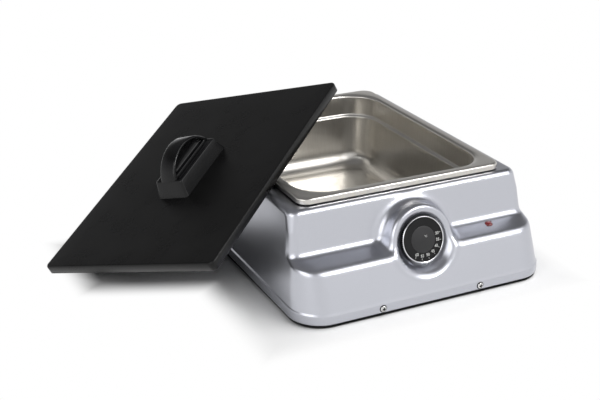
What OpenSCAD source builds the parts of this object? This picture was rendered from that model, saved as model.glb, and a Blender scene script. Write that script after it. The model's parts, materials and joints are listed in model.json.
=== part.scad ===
// Counter-top chocolate melting tank: a stainless pan hangs in a moulded housing with a stepped front.
// The front carries a dished boss for the thermostat dial, and the lid lies beside the tank, leaning on it.
// Frame: +Z up, the front faces -Y, the origin is on the table below the middle of the pan. Millimetres.

/* [Pan] */
// Width across the pan's rim
pan_w = 265; // [250:1:280]
// Depth of the pan's rim, front to back
pan_d = 325; // [310:1:340]
// Depth of the pan below its rim
pan_deep = 100; // [80:1:101]
// Thickness of the pan's sheet
pan_t = 0.8; // [0.6:0.1:1.2]
// Width of the rim's flange
pan_flange = 12; // [10:0.5:15]
// Height of the rim's turned-down lip
pan_lip = 8; // [5:0.5:10]
// Corner radius of the rim, outside
pan_rim_r = 14; // [6:1:24]
// Corner radius of the pan's opening
pan_open_r = 42; // [34:1:52]
// Drop from the rim to the stacking shoulder
pan_shoulder = 29; // [20:1:38]
// Inward step of the stacking shoulder
pan_step = 3.5; // [2:0.5:5]
// Inward draft of the walls below the shoulder
pan_draft = 3; // [1:0.5:5]
// Radius where the walls turn into the floor
pan_floor_r = 22; // [12:1:26]

/* [Housing] */
// Height of the pan's rim above the table
rim_z = 125; // [122:1:140]
// Wall thickness of the housing
wall = 2.5; // [2:0.1:3.2]
// Ledge beside the pan's rim, left and right
ledge_side = 17; // [12:0.5:24]
// Ledge in front of and behind the pan's rim
ledge_front = 7.5; // [6.5:0.5:14]
// Outward draft of the walls for each millimetre of height
draft = 0.115; // [0.06:0.005:0.16]
// Radius of the top shoulder
shoulder_r = 6; // [4:0.5:6.5]
// Gap between the housing's lower edge and the table
edge_z = 3.5; // [2:0.5:5]
// Top of the flange band round the foot
flange_z = 15; // [14:0.5:20]
// How far the flange band stands out
flange_out = 1.2; // [0.6:0.1:2.5]
// Corner radius at the foot
foot_corner_r = 38; // [30:1:46]
// Corner radius at the top
top_corner_r = 13; // [10:1:20]

/* [Stepped front] */
// Height of the step where it meets the upper wall
step_back_z = 66; // [64:0.5:69]
// Height of the step at its front edge
step_front_z = 58; // [54:0.5:60]
// Depth of the step, front to back
step_depth = 37; // [33:0.5:40]
// How far the lower wall leans out below the step
lower_lean = 17; // [10:0.5:22]
// Radius of the step's front edge
step_edge_r = 8; // [5:0.5:10]
// Radius of the cove behind the step
step_cove_r = 7; // [4:0.5:9]
// Corner radius at the step's front edge
step_corner_r = 29; // [22:1:36]

/* [Dial boss] */
// How far the boss's floor stands in front of the middle of the pan
boss_y = 194; // [191:0.5:197]
// Height of the middle of the boss's floor
boss_z = 66.5; // [64:0.5:69]
// Upward tilt of the boss
boss_tilt = 16; // [12:0.5:20]
// Radius of the boss's flat floor
boss_floor_r = 31; // [29:0.5:32]
// Radius of the boss's crest
boss_crest_r = 39; // [37:0.5:40]
// Height of the boss's crest over its floor
boss_crest_h = 8.5; // [6:0.5:10]
// Outward flare of the boss's outer cone for each millimetre of height
boss_flare = 0.17; // [0.08:0.01:0.24]

/* [Base] */
// Thickness of the base tray's sheet
tray_t = 1.2; // [0.8:0.1:1.5]
// Height of the feet
foot_h = 6; // [5:0.5:7]
// Diameter of a foot
foot_d = 24; // [18:1:28]
// Distance of the feet from the tray's edge
foot_inset = 34; // [28:1:44]
// Distance of each flange screw from the middle
flange_screw_x = 64; // [40:1:80]

/* [Heater] */
// Width of the heater plate
heater_w = 200; // [190:1:206]
// Depth of the heater plate, front to back
heater_d = 276; // [270:1:282]
// Thickness of the heater plate
heater_t = 2; // [1.5:0.1:2.5]
// Air gap between the heater plate and the pan
heater_gap = 2.6; // [2.2:0.1:3]
// Diameter of the tubular element
element_d = 6.4; // [5:0.1:6.8]
// Distance between the element's runs
element_pitch = 30; // [28:0.5:31]
// Length of the element's straight runs
element_run = 190; // [160:1:196]
// Thickness of the insulating board
board_t = 3; // [2:0.1:3.5]

/* [Thermostat and dial] */
// Width of the thermostat's case
case_w = 42; // [34:1:44]
// Height of the thermostat's case
case_h = 34; // [30:1:36]
// Depth of the thermostat's case
case_d = 24; // [20:0.5:26]
// Diameter of the thermostat's shaft
shaft_d = 6; // [5:0.1:7]
// Radius of the dial over its trim ring
dial_r = 26; // [24:0.5:27]
// Height of the dial over the boss's floor
dial_h = 13; // [11:0.5:16]

/* [Lamp] */
// Distance of the pilot lamp from the middle
lamp_x = 98; // [80:1:110]
// Distance of the pilot lamp in front of the step's back edge
lamp_out = 16; // [13:0.5:20]
// Diameter of the lamp's lens
lamp_d = 10; // [8:0.5:12]

/* [Mains inlet] */
// Height of the inlet at the back
inlet_z = 44; // [40:1:50]
// Width of the inlet's flange
inlet_w = 50; // [48:1:56]
// Height of the inlet's flange
inlet_h = 24; // [23:0.5:28]
// Distance between the inlet's two screws
inlet_pitch = 40; // [38:0.5:42]

/* [Lid] */
// Width of the lid
lid_w = 264; // [250:1:275]
// Length of the lid
lid_l = 324; // [310:1:335]
// Height of the lid over its skirt
lid_h = 11; // [10:0.5:14]
// Thickness of the lid's plate
lid_plate = 3; // [2:0.1:3]
// Thickness of the lid's skirt
lid_skirt = 2.5; // [2:0.1:4]
// Corner radius of the lid
lid_corner_r = 7; // [5:1:14]
// Slope of the leaning lid
lid_lean = 27.1; // [25:0.1:29]
// Turn of the leaning lid in its own plane
lid_turn = 52.2; // [50:0.1:54]
// Direction in which the leaning lid slopes, off the tank's own width
lid_heading = 3.7; // [3:0.1:4.4]
// Place of the lid's lowest corner along the tank's depth
lid_corner_y = 34; // [30:1:38]

/* [Lid handle] */
// Length of the handle's plinth
plinth_l = 95; // [80:1:110]
// Width of the handle's plinth
plinth_w = 46; // [40:1:54]
// Height of the handle's plinth
plinth_h = 20; // [14:0.5:24]
// Length of the grip
grip_l = 74; // [60:1:76]
// Height of the grip over the plinth
grip_h = 24; // [18:0.5:28]
// Thickness of the grip
grip_t = 23; // [16:0.5:28]

/* [Fits] */
// Gap between pieces that lift off each other
seat_gap = 0.3; // [0.2:0.05:0.5]
// Running clearance of a shaft in its bore, on the radius
run_gap = 0.06; // [0.03:0.01:0.1]
// Clearance round fixed pieces that drop into place
fit_gap = 0.5; // [0.4:0.05:0.8]
// Diameter of the flange, foot and handle screws
screw_d = 4; // [3:0.5:4.5]
// Diameter of the small inner screws
pin_d = 3; // [2.5:0.1:3.2]

/* [Hidden] */
$fn = 48;

// Segments of a quarter round in the housing's loft, and of a fillet in a profile
corner_steps = 8;
fillet_steps = 5;
// Overlap that lets a cutter pass through a face
over = 1;

// Pan, worked out
pan_hw = pan_w / 2;
pan_hd = pan_d / 2;
open_hw = pan_hw - pan_flange;
open_hd = pan_hd - pan_flange;
pan_cx = open_hw - pan_open_r;
pan_cy = open_hd - pan_open_r;
pan_bottom_z = rim_z - pan_deep;

// Housing, worked out
top_z = rim_z - pan_lip - seat_gap;
top_hw = pan_hw + ledge_side;
top_front = -(pan_hd + ledge_front);
top_back = pan_hd + ledge_front;
step_back_y = top_front - draft * (top_z - step_back_z);
step_front_y = step_back_y - step_depth;
step_slope = atan((step_back_z - step_front_z) / step_depth);
lower_z = flange_z + flange_out;
lower_y = step_front_y - lower_lean;
flange_front = lower_y - flange_out;
flange_hw = top_hw + draft * (top_z - lower_z) + flange_out;
flange_back = top_back + draft * (top_z - lower_z) + flange_out;
// Opening in the top, clear of the pan's wall and under its flange
mouth_hw = open_hw + pan_t + 3.5;
mouth_hd = open_hd + pan_t + 3.5;
mouth_r = pan_open_r + 2;
draft_angle = atan(draft);

// Base, heater and their heights, from the table up
tray_z = foot_h;
tray_top = tray_z + tray_t;
tray_rim_z = flange_z - 0.4;
tray_hw = flange_hw - wall - fit_gap;
tray_front = flange_front + wall + fit_gap;
tray_back = flange_back - wall - fit_gap;
tray_r = foot_corner_r - wall - fit_gap;
flange_screw_z = (edge_z + flange_z) / 2;
foot_x = tray_hw - foot_inset;
heater_top = pan_bottom_z - heater_gap;
heater_bottom = heater_top - heater_t;
element_z = heater_bottom - element_d / 2;
post_x = heater_w / 2 - 14;
post_y = heater_d / 2 - 10;
post_d = 8;

// Boss and dial, worked out
boss_skin = wall;
dial_gap = 1.2;
ring_w = 1.5;
ring_t = 2.4;
shaft_out = dial_h - 3;
shaft_in = 14;
case_screw_x = 15;

// Lid's place: the low corner on the table, one edge on the pan's rim
lid_rise_w = sin(lid_lean) * cos(lid_turn);
lid_rise_l = sin(lid_lean) * sin(lid_turn);
lid_low = seat_gap - lid_corner_r * (lid_rise_w + lid_rise_l - sin(lid_lean));
lid_reach = (rim_z + seat_gap + 0.1 - lid_low - lid_w * lid_rise_w) / lid_rise_l;
lid_dir_w = lid_axis([1, 0, 0]);
lid_dir_l = lid_axis([0, 1, 0]);
lid_x = -pan_hw - lid_w * lid_dir_w.x - lid_reach * lid_dir_l.x;

// A direction of the lid's own frame, in the tank's frame
function lid_axis(v) =
    let (a = -lid_turn, b = -lid_lean, c = -lid_heading)
    let (p = [v.x * cos(a) - v.y * sin(a), v.x * sin(a) + v.y * cos(a), v.z])
    let (q = [p.x * cos(b) + p.z * sin(b), p.y, p.z * cos(b) - p.x * sin(b)])
    [q.x * cos(c) - q.y * sin(c), q.x * sin(c) + q.y * cos(c), q.z];

// Fillet of radius r at corner b of a path that runs a, b, c
function fillet(a, b, c, r) =
    r <= 0 ? [b] :
    let (u = (a - b) / norm(a - b), v = (c - b) / norm(c - b))
    let (half = acos(u * v) / 2, mid = b + (u + v) / norm(u + v) * r / sin(half))
    let (s = b + u * r / tan(half) - mid, turn = cross(u, v) > 0 ? -1 : 1, sweep = 180 - 2 * half)
    [for (i = [0:fillet_steps])
        let (k = turn * sweep * i / fillet_steps)
        mid + [s.x * cos(k) - s.y * sin(k), s.x * sin(k) + s.y * cos(k)]];

// Path of [x, y, radius] corners with its inner corners filleted
function rounded(path) =
    let (n = len(path), xy = [for (p = path) [p.x, p.y]])
    concat([xy[0]], [for (i = [1:n - 2]) each fillet(xy[i - 1], xy[i], xy[i + 1], path[i].z)], [xy[n - 1]]);

function reversed(list) = [for (i = [len(list) - 1:-1:0]) list[i]];

// Rounded rectangle, from its left, front, right and back edges and its front and back corner radii
function ring(z, hw, front, back, rf, rb) =
    [for (c = [[-hw + rf, front + rf, rf, 180], [hw - rf, front + rf, rf, 270],
               [hw - rb, back - rb, rb, 0], [-hw + rb, back - rb, rb, 90]])
        for (i = [0:corner_steps])
            let (a = c[3] + 90 * i / corner_steps)
            [c[0] + c[2] * cos(a), c[1] + c[2] * sin(a), z]];

// Half width, back and rear corner radius of the side and back walls at a height, outside
function shoulder_in(z) =
    let (h = z - (top_z - shoulder_r))
    h <= 0 ? 0 : shoulder_r - sqrt(max(0, shoulder_r * shoulder_r - h * h));
function side_at(z) = top_hw + draft * (top_z - z) - shoulder_in(z);
function back_at(z) = top_back + draft * (top_z - z) - shoulder_in(z);
function rear_r(z) = lookup(z, [[edge_z, foot_corner_r], [top_z, top_corner_r]]);
function front_r(y) =
    lookup(y, [[flange_front, foot_corner_r], [step_front_y, step_corner_r],
               [step_back_y, top_corner_r - 3], [top_front, top_corner_r]]);

// One closed section of the housing's wall, set in by a thickness
function section(y, z, set_in) =
    let (zo = min(z + set_in, top_z))
    let (side = set_in > 0 ? top_hw + draft * (top_z - z) : side_at(z))
    let (back = set_in > 0 ? top_back + draft * (top_z - z) : back_at(z))
    ring(z, side - set_in, y, back - set_in,
         max(4, front_r(y - set_in) - set_in), max(4, rear_r(zo) - set_in));

function foot_section(z, set_in) =
    ring(z, flange_hw - set_in, flange_front + set_in, flange_back - set_in,
         foot_corner_r - set_in, foot_corner_r - set_in);

function mouth_section(z) = ring(z, mouth_hw, -mouth_hd, mouth_hd, mouth_r, mouth_r);

// Profile of the front wall, from the flange band up to the ledge, set in by a thickness
function front_profile(set_in) =
    rounded([
        [lower_y + set_in, lower_z, 0],
        [step_front_y + set_in, step_front_z - set_in, max(1, step_edge_r - set_in)],
        [step_back_y + set_in, step_back_z - set_in, step_cove_r + set_in],
        [top_front + set_in, top_z - set_in, max(1, shoulder_r - set_in)],
        [top_front + set_in + shoulder_r, top_z - set_in, 0]
    ]);

function wall_sections(set_in) =
    let (path = front_profile(set_in))
    concat([foot_section(edge_z, set_in), foot_section(flange_z, set_in)],
           [for (i = [0:len(path) - 2]) section(path[i].x, path[i].y, set_in)]);

// Loft through closed sections: a ring-shaped shell when looped, a capped solid when not
module loft(sections, looped) {
    n = len(sections[0]);
    m = len(sections);
    points = [for (s = sections) each s];
    skin = [for (i = [0:(looped ? m : m - 1) - 1]) for (j = [0:n - 1])
        let (k = (i + 1) % m, q = (j + 1) % n)
        each [[i * n + j, k * n + j, k * n + q], [i * n + j, k * n + q, i * n + q]]];
    caps = looped ? [] : [[for (j = [0:n - 1]) j], [for (j = [n - 1:-1:0]) (m - 1) * n + j]];
    polyhedron(points, concat(skin, caps), convexity = 10);
}

module housing_shell() {
    loft(concat(wall_sections(0), [mouth_section(top_z), mouth_section(top_z - wall)],
                reversed(wall_sections(wall))), true);
}

module housing_envelope() {
    loft(wall_sections(0), false);
}

module housing_cavity() {
    loft(wall_sections(wall), false);
}

// Frames of the front boss, the step, the back wall and the leaning lid
module at_boss() {
    translate([0, -boss_y, boss_z]) rotate([90 - boss_tilt, 0, 0]) children();
}

module at_lamp() {
    translate(lamp_point([0, 0, 0])) rotate([step_slope, 0, 0]) children();
}

module at_inlet() {
    translate([0, back_at(inlet_z), inlet_z]) rotate([draft_angle - 90, 0, 0]) children();
}

module at_lid() {
    translate([lid_x, lid_corner_y, lid_low])
        rotate([0, 0, -lid_heading]) rotate([0, -lid_lean, 0]) rotate([0, 0, -lid_turn]) children();
}

module at_handle() {
    at_lid() translate([lid_w / 2, lid_l / 2, lid_h]) children();
}

// Shapes that repeat
module rounded_rect(w, d, r) {
    square([w - 2 * r, d], center = true);
    square([w, d - 2 * r], center = true);
    for (x = [-1, 1], y = [-1, 1]) translate([x * (w / 2 - r), y * (d / 2 - r)]) circle(r);
}

// Pan-head screw with a cross recess, its seat at the origin and its shank along -Z
module screw(d, length) {
    head_r = d * 0.92;
    head_h = d * 0.5;
    difference() {
        union() {
            translate([0, 0, -length]) cylinder(d = d, h = length);
            cylinder(r1 = head_r, r2 = head_r * 0.82, h = head_h);
        }
        for (a = [0, 90])
            rotate([0, 0, a]) translate([0, 0, head_h])
                cube([head_r * 1.1, d * 0.2, head_h], center = true);
    }
}

// Route through a list of points with its corners cut, as a bent wire runs
function eased(points, passes) =
    passes == 0 ? points :
    let (n = len(points))
    eased(concat([points[0]],
                 [for (i = [0:n - 2])
                     each [points[i] * 0.75 + points[i + 1] * 0.25, points[i] * 0.25 + points[i + 1] * 0.75]],
                 [points[n - 1]]), passes - 1);

// Directions along a route, and the side vectors carried along it without twist
function unit(v) = v / norm(v);
function heading(points, i) =
    unit(points[min(i + 1, len(points) - 1)] - points[max(i - 1, 0)]);
function across(v, d) = unit(v - (v * d) * d);
function carried(dirs, v, i = 0) =
    i == len(dirs) ? [] :
    let (side = across(v, dirs[i]))
    concat([side], carried(dirs, side, i + 1));

// Round wire or tube along a route, started with a side vector that isn't along its first stretch
wire_sides = 8;

module tube_path(points, r, start = [0.2, 0.3, 0.9]) {
    route = eased(points, 2);
    dirs = [for (i = [0:len(route) - 1]) heading(route, i)];
    sides = carried(dirs, start);
    loft([for (i = [0:len(route) - 1])
        [for (k = [0:wire_sides - 1])
            let (a = 360 * k / wire_sides)
            route[i] + r * (cos(a) * sides[i] + sin(a) * cross(dirs[i], sides[i]))]], false);
}

// Saddle strap over a round bar of diameter d that runs along Y under a plate, the plate's face at the origin
module strap(d, width, t) {
    arm = d / 2 + t + 8;
    difference() {
        union() {
            translate([0, 0, -d / 2]) rotate([90, 0, 0]) cylinder(d = d + 2 * t, h = width, center = true);
            translate([0, 0, -d / 4]) cube([d + 2 * t, width, d / 2], center = true);
            translate([0, 0, -t / 2]) cube([2 * arm, width, t], center = true);
        }
        translate([0, 0, -d / 2]) rotate([90, 0, 0]) cylinder(d = d + 0.1, h = width + over, center = true);
        translate([0, 0, -d / 4]) cube([d + 0.1, width + over, d / 2 + 0.1], center = true);
        translate([0, 0, d / 2 + over]) cube([3 * arm, width + over, d + 2 * over], center = true);
        for (s = [-1, 1])
            translate([s * (arm - 4), 0, -t - over]) cylinder(d = pin_d + 0.2, h = t + 2 * over, $fn = 24);
    }
}

function strap_screw_x(d, t) = d / 2 + t + 4;

// Dished boss: its outer cone, the hollow in front of its skin, its skin and the hollow behind
boss_reach = 46;
boss_back = 36;
boss_rim_h = 20;
boss_rim_r = boss_crest_r + 3.5;

function dish_line(off) =
    [[0, -off], [boss_floor_r + off * 0.45, -off], [boss_crest_r + off * 0.7, boss_crest_h - off * 0.7],
     [boss_rim_r + off, boss_rim_h], [boss_rim_r + off + 2, boss_reach]];

module boss_cone() {
    foot_r = boss_crest_r + 1.6 + boss_flare * (boss_crest_h + boss_back);
    rotate_extrude($fn = 96)
        polygon([[0, -boss_back], [foot_r, -boss_back], [boss_crest_r + 1.6, boss_crest_h - 0.4],
                 [boss_crest_r, boss_crest_h], [0, boss_crest_h]]);
}

module dish_hollow() {
    rotate_extrude($fn = 96) polygon(concat(dish_line(0), [[0, boss_reach]]));
}

module dish_skin() {
    rotate_extrude($fn = 96) polygon(concat(dish_line(boss_skin), [[0, boss_reach]]));
}

module boss_hollow() {
    skin = boss_skin * 1.02;
    crest = [boss_crest_r - 0.2 * skin, boss_crest_h - 1.45 * skin];
    foot_r = boss_crest_r + 1.6 - skin + boss_flare * (boss_crest_h + boss_back);
    rotate_extrude($fn = 96)
        polygon([[0, -boss_skin], [boss_floor_r + boss_skin * 0.45, -boss_skin], crest,
                 [foot_r, -boss_back - over], [0, -boss_back - over]]);
}

// Housing

module flange_screw_places() {
    for (s = [-1, 1]) {
        translate([s * flange_screw_x, flange_front, flange_screw_z]) rotate([90, 0, 0]) children();
        translate([s * flange_screw_x, flange_back, flange_screw_z]) rotate([-90, 0, 0]) children();
    }
}

module housing() {
    color("silver") difference() {
        union() {
            housing_shell();
            difference() {
                at_boss() boss_cone();
                housing_cavity();
            }
            intersection() {
                at_boss() dish_skin();
                housing_envelope();
            }
        }
        at_boss() dish_hollow();
        at_boss() boss_hollow();
        at_boss() translate([0, 0, -boss_back]) cylinder(d = shaft_d + 6, h = 2 * boss_back);
        at_boss() for (s = [-1, 1])
            translate([s * case_screw_x, 0, -boss_back]) cylinder(d = screw_d + 0.4, h = 2 * boss_back);
        at_lamp() translate([0, 0, -over - 2 * wall]) cylinder(d = lamp_d - 1, h = 4 * wall + 2 * over);
        at_inlet() inlet_cutout();
        flange_screw_places() translate([0, 0, -wall - over])
            cylinder(d = screw_d + 0.4, h = wall + 2 * over);
    }
}

// Base tray and its fasteners
module tray_outline(set_in) {
    w = 2 * (tray_hw - set_in);
    d = tray_back - tray_front - 2 * set_in;
    translate([0, (tray_front + tray_back) / 2]) rounded_rect(w, d, tray_r - set_in);
}

module foot_places() {
    for (x = [-1, 1], y = [tray_front + foot_inset, tray_back - foot_inset])
        translate([x * foot_x, y, 0]) children();
}

module post_places() {
    for (x = [-1, 1], y = [-1, 1]) translate([x * post_x, y * post_y, 0]) children();
}

module base_tray() {
    color("dimgray") difference() {
        translate([0, 0, tray_z]) linear_extrude(tray_rim_z - tray_z) tray_outline(0);
        translate([0, 0, tray_top]) linear_extrude(tray_rim_z) tray_outline(tray_t);
        foot_places() translate([0, 0, tray_z - over]) cylinder(d = screw_d + 0.2, h = tray_t + 2 * over);
        post_places() translate([0, 0, tray_z - over]) cylinder(d = pin_d + 0.2, h = tray_t + 2 * over);
        translate(earth_at) translate([0, 0, -over - tray_t])
            cylinder(d = screw_d + 0.2, h = tray_t + 2 * over);
        flange_screw_places() translate([0, 0, -3 * wall]) cylinder(d = screw_d + 0.1, h = 4 * wall);
    }
}

module flange_screws() {
    color("gainsboro") flange_screw_places() screw(screw_d, wall + fit_gap + tray_t + 4);
}

module rubber_feet() {
    color("black") foot_places() difference() {
        cylinder(d1 = foot_d - 2, d2 = foot_d, h = foot_h);
        translate([0, 0, -over]) cylinder(d = screw_d + 0.2, h = foot_h + 2 * over);
        translate([0, 0, -over]) cylinder(r = screw_d * 1.1, h = foot_h * 0.6 + over);
    }
}

module foot_screws() {
    color("gainsboro") foot_places()
        translate([0, 0, foot_h * 0.6]) rotate([180, 0, 0]) screw(screw_d, foot_h * 0.4 + tray_t + screw_d);
}

module foot_nuts() {
    color("gainsboro") foot_places() translate([0, 0, tray_top]) difference() {
        cylinder(d = screw_d * 2, h = screw_d * 0.8, $fn = 6);
        translate([0, 0, -over]) cylinder(d = screw_d, h = screw_d + 2 * over);
    }
}

// Pan
function pan_line(off) =
    let (low = pan_bottom_z + pan_t - off)
    rounded([
        [pan_open_r + off, rim_z, 0],
        [pan_open_r + off, rim_z - pan_shoulder, 2],
        [pan_open_r + off - pan_step, rim_z - pan_shoulder - pan_step, 2],
        [pan_open_r + off - pan_step - pan_draft, low, pan_floor_r + off],
        [0, low, 0]
    ]);

module pan_wall() {
    profile = concat(pan_line(0), reversed(pan_line(pan_t)));
    for (k = [0:3]) {
        along_x = k % 2 == 1;
        out = along_x ? pan_cy : pan_cx;
        half = along_x ? pan_cx : pan_cy;
        rotate([0, 0, 90 * k]) {
            translate([out, 0, 0]) rotate([90, 0, 0])
                linear_extrude(2 * half, center = true) polygon(profile);
            translate([out, half, 0]) rotate_extrude(angle = 90, $fn = 64) polygon(profile);
        }
    }
    translate([0, 0, pan_bottom_z + pan_t / 2]) cube([2 * pan_cx, 2 * pan_cy, pan_t], center = true);
}

module pan() {
    color("lightgray") {
        pan_wall();
        translate([0, 0, rim_z - pan_t]) linear_extrude(pan_t) difference() {
            rounded_rect(pan_w, pan_d, pan_rim_r);
            rounded_rect(2 * open_hw, 2 * open_hd, pan_open_r);
        }
        translate([0, 0, rim_z - pan_lip]) linear_extrude(pan_lip) difference() {
            rounded_rect(pan_w, pan_d, pan_rim_r);
            rounded_rect(pan_w - 2 * pan_t, pan_d - 2 * pan_t, pan_rim_r - pan_t);
        }
    }
}

// Heater under the pan
element_runs = 6;
element_turn = element_pitch / 2;

function run_x(i) = (i - (element_runs - 1) / 2) * element_pitch;

module heater_plate() {
    color("silver") difference() {
        translate([0, 0, heater_bottom]) linear_extrude(heater_t) rounded_rect(heater_w, heater_d, 10);
        post_places() translate([0, 0, heater_bottom - over])
            cylinder(d = pin_d + 0.2, h = heater_t + 2 * over);
        clamp_places() strap_screw_holes(element_d, clamp_t);
        bulb_places() strap_screw_holes(bulb_d, clip_t);
        cutout_screw_places() translate([0, 0, -over]) cylinder(d = pin_d, h = heater_t + 2 * over);
    }
}

module strap_screw_holes(d, t) {
    for (s = [-1, 1])
        translate([s * strap_screw_x(d, t), 0, -over]) cylinder(d = pin_d, h = heater_t + 2 * over);
}

module heating_element() {
    lead = heater_d / 2 - element_run / 2 - end_in;
    color("darkslategray") translate([0, 0, element_z]) {
        for (i = [0:element_runs - 1])
            translate([run_x(i), 0, 0]) rotate([90, 0, 0])
                cylinder(d = element_d, h = element_run, center = true);
        for (i = [0:element_runs - 2])
            translate([run_x(i) + element_turn, (i % 2 == 0 ? 1 : -1) * element_run / 2, 0])
                rotate([0, 0, i % 2 == 0 ? 0 : 180])
                    rotate_extrude(angle = 180, $fn = 64) translate([element_turn, 0]) circle(d = element_d);
        for (i = [0, element_runs - 1])
            translate([run_x(i), -element_run / 2 - lead, 0]) rotate([-90, 0, 0])
                cylinder(d = element_d, h = lead);
    }
}

// Insulated ends and studs of the element, where the leads are joined
end_in = 12;
end_stud = 22;

module element_ends() {
    color("ivory") for (i = [0, element_runs - 1])
        translate([run_x(i), end_in - heater_d / 2, element_z]) rotate([90, 0, 0]) {
            cylinder(d = element_d - 1, h = end_in);
            cylinder(d = 2.5, h = end_stud, $fn = 24);
        }
}

clamp_t = 1.2;
clamp_w = 8;
clamp_y = element_run * 0.33;

module clamp_places() {
    for (i = [0, element_runs - 1], y = [-1, 1]) translate([run_x(i), y * clamp_y, heater_bottom]) children();
}

module element_clamps() {
    color("gainsboro") clamp_places() strap(element_d, clamp_w, clamp_t);
}

bulb_d = 6;
bulb_l = 64;
clip_t = 0.8;
bulb_in = 4;
bulb_y = (bulb_l - element_run) / 2 + bulb_in;

module bulb_places() {
    for (s = [-1, 1]) translate([0, bulb_y + s * bulb_l * 0.3, heater_bottom]) children();
}

// Screws of the element's clamps, of the bulb's clips and of the cut-out
module clamp_screws() {
    color("gainsboro") {
        clamp_places() strap_screws(element_d, clamp_t);
        bulb_places() strap_screws(bulb_d, clip_t);
        cutout_screw_places() translate([0, 0, -cutout_tab]) rotate([180, 0, 0])
            screw(pin_d, cutout_tab + heater_t);
    }
}

module strap_screws(d, t) {
    for (s = [-1, 1])
        translate([s * strap_screw_x(d, t), 0, -t]) rotate([180, 0, 0]) screw(pin_d, t + heater_t);
}

// Half width of the insulating board, past the heater plate, and its corner radius
board_hw = heater_w / 2 + 8;
board_r = 12;

module insulating_board() {
    color("beige") difference() {
        translate([0, 0, tray_top]) linear_extrude(board_t) rounded_rect(2 * board_hw, heater_d, board_r);
        post_places() translate([0, 0, tray_top - over]) cylinder(d = post_d + 2, h = board_t + 2 * over);
    }
}

module standoffs() {
    color("goldenrod") post_places() translate([0, 0, tray_top]) difference() {
        cylinder(d = post_d, h = heater_bottom - tray_top);
        translate([0, 0, -over]) cylinder(d = pin_d + 0.1, h = heater_bottom + over);
    }
}

module plate_screws() {
    color("gainsboro") post_places() translate([0, 0, heater_top]) screw(pin_d, heater_t + 4);
}

module tray_screws() {
    color("gainsboro") post_places() translate([0, 0, tray_z]) rotate([180, 0, 0]) screw(pin_d, tray_t + 4);
}

// Safety cut-out, a round switch under the heater plate
cutout_d = 15;
cutout_tab = 1.2;
cutout_screw_pitch = 21;
cutout_y = element_run * 0.2;

module cutout_screw_places() {
    for (s = [-1, 1]) translate([0, cutout_y + s * cutout_screw_pitch / 2, heater_bottom]) children();
}

module thermal_cutout() {
    body_h = min(6.5, heater_bottom - tray_top - board_t - 1);
    color("saddlebrown") translate([0, cutout_y, heater_bottom]) difference() {
        union() {
            translate([0, 0, -body_h]) cylinder(d = cutout_d, h = body_h);
            translate([0, 0, -cutout_tab / 2]) cube([8, cutout_screw_pitch + 8, cutout_tab], center = true);
            for (s = [-1, 1])
                translate([s * cutout_d * 0.3, 0, -body_h * 0.6])
                    cube([cutout_d * 0.7, 6.3, 0.8], center = true);
        }
        for (s = [-1, 1])
            translate([0, s * cutout_screw_pitch / 2, -body_h]) cylinder(d = pin_d + 0.2, h = 2 * body_h);
    }
}

// Thermostat behind the boss
module thermostat_case() {
    color("whitesmoke") at_boss() translate([0, 0, -boss_skin]) difference() {
        union() {
            translate([0, 0, -case_d / 2]) cube([case_w, case_h, case_d], center = true);
            cylinder(d = shaft_d + 5, h = boss_skin);
        }
        translate([0, 0, -shaft_in - run_gap])
            cylinder(r = shaft_d / 2 + run_gap, h = shaft_in + 2 * boss_skin);
        for (s = [-1, 1]) translate([s * case_screw_x, 0, -8]) cylinder(d = screw_d + 0.1, h = 8 + over);
    }
}

// Low-headed screws that hold the thermostat, under the dial
module thermostat_screws() {
    color("gainsboro") at_boss() for (s = [-1, 1]) translate([s * case_screw_x, 0, 0]) {
        cylinder(r = screw_d * 0.9, h = dial_gap + 0.6);
        translate([0, 0, -boss_skin - 6]) cylinder(d = screw_d, h = boss_skin + 6);
    }
}

module sensor_bulb() {
    color("peru") translate([0, bulb_y, heater_bottom - bulb_d / 2]) rotate([90, 0, 0])
        cylinder(d = bulb_d, h = bulb_l, center = true);
}

module bulb_clips() {
    color("gainsboro") bulb_places() strap(bulb_d, 6, clip_t);
}

// Capillary from the bulb's end, forward under the pan and up to the thermostat
capillary_r = 1;

module capillary_tube() {
    z = heater_bottom - bulb_d / 2;
    front = -pan_hd - 4;
    rise = 6;
    port = [case_w * 0.3, -case_h / 2, -boss_skin - case_d * 0.6];
    below = boss_point(port - [0, 1.5 * rise, 0]);
    color("peru") tube_path([
        [0, bulb_y - bulb_l / 2 - joint_gap, z],
        [0, front + 4 * rise, z],
        [below.x, front + rise, z],
        [below.x, front, z + rise],
        below,
        boss_point(port - [0, joint_gap, 0])
    ], capillary_r);
}

// A point of the boss's frame, in the tank's frame
function boss_point(p) =
    [p.x, -boss_y + p.y * sin(boss_tilt) - p.z * cos(boss_tilt),
     boss_z + p.y * cos(boss_tilt) + p.z * sin(boss_tilt)];

module thermostat_shaft() {
    color("gainsboro") at_boss() difference() {
        translate([0, 0, -boss_skin - shaft_in]) cylinder(d = shaft_d, h = boss_skin + shaft_in + shaft_out);
        translate([shaft_d / 2 - 1, -shaft_d, shaft_out - 6]) cube([shaft_d, 2 * shaft_d, 6 + over]);
    }
}

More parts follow.
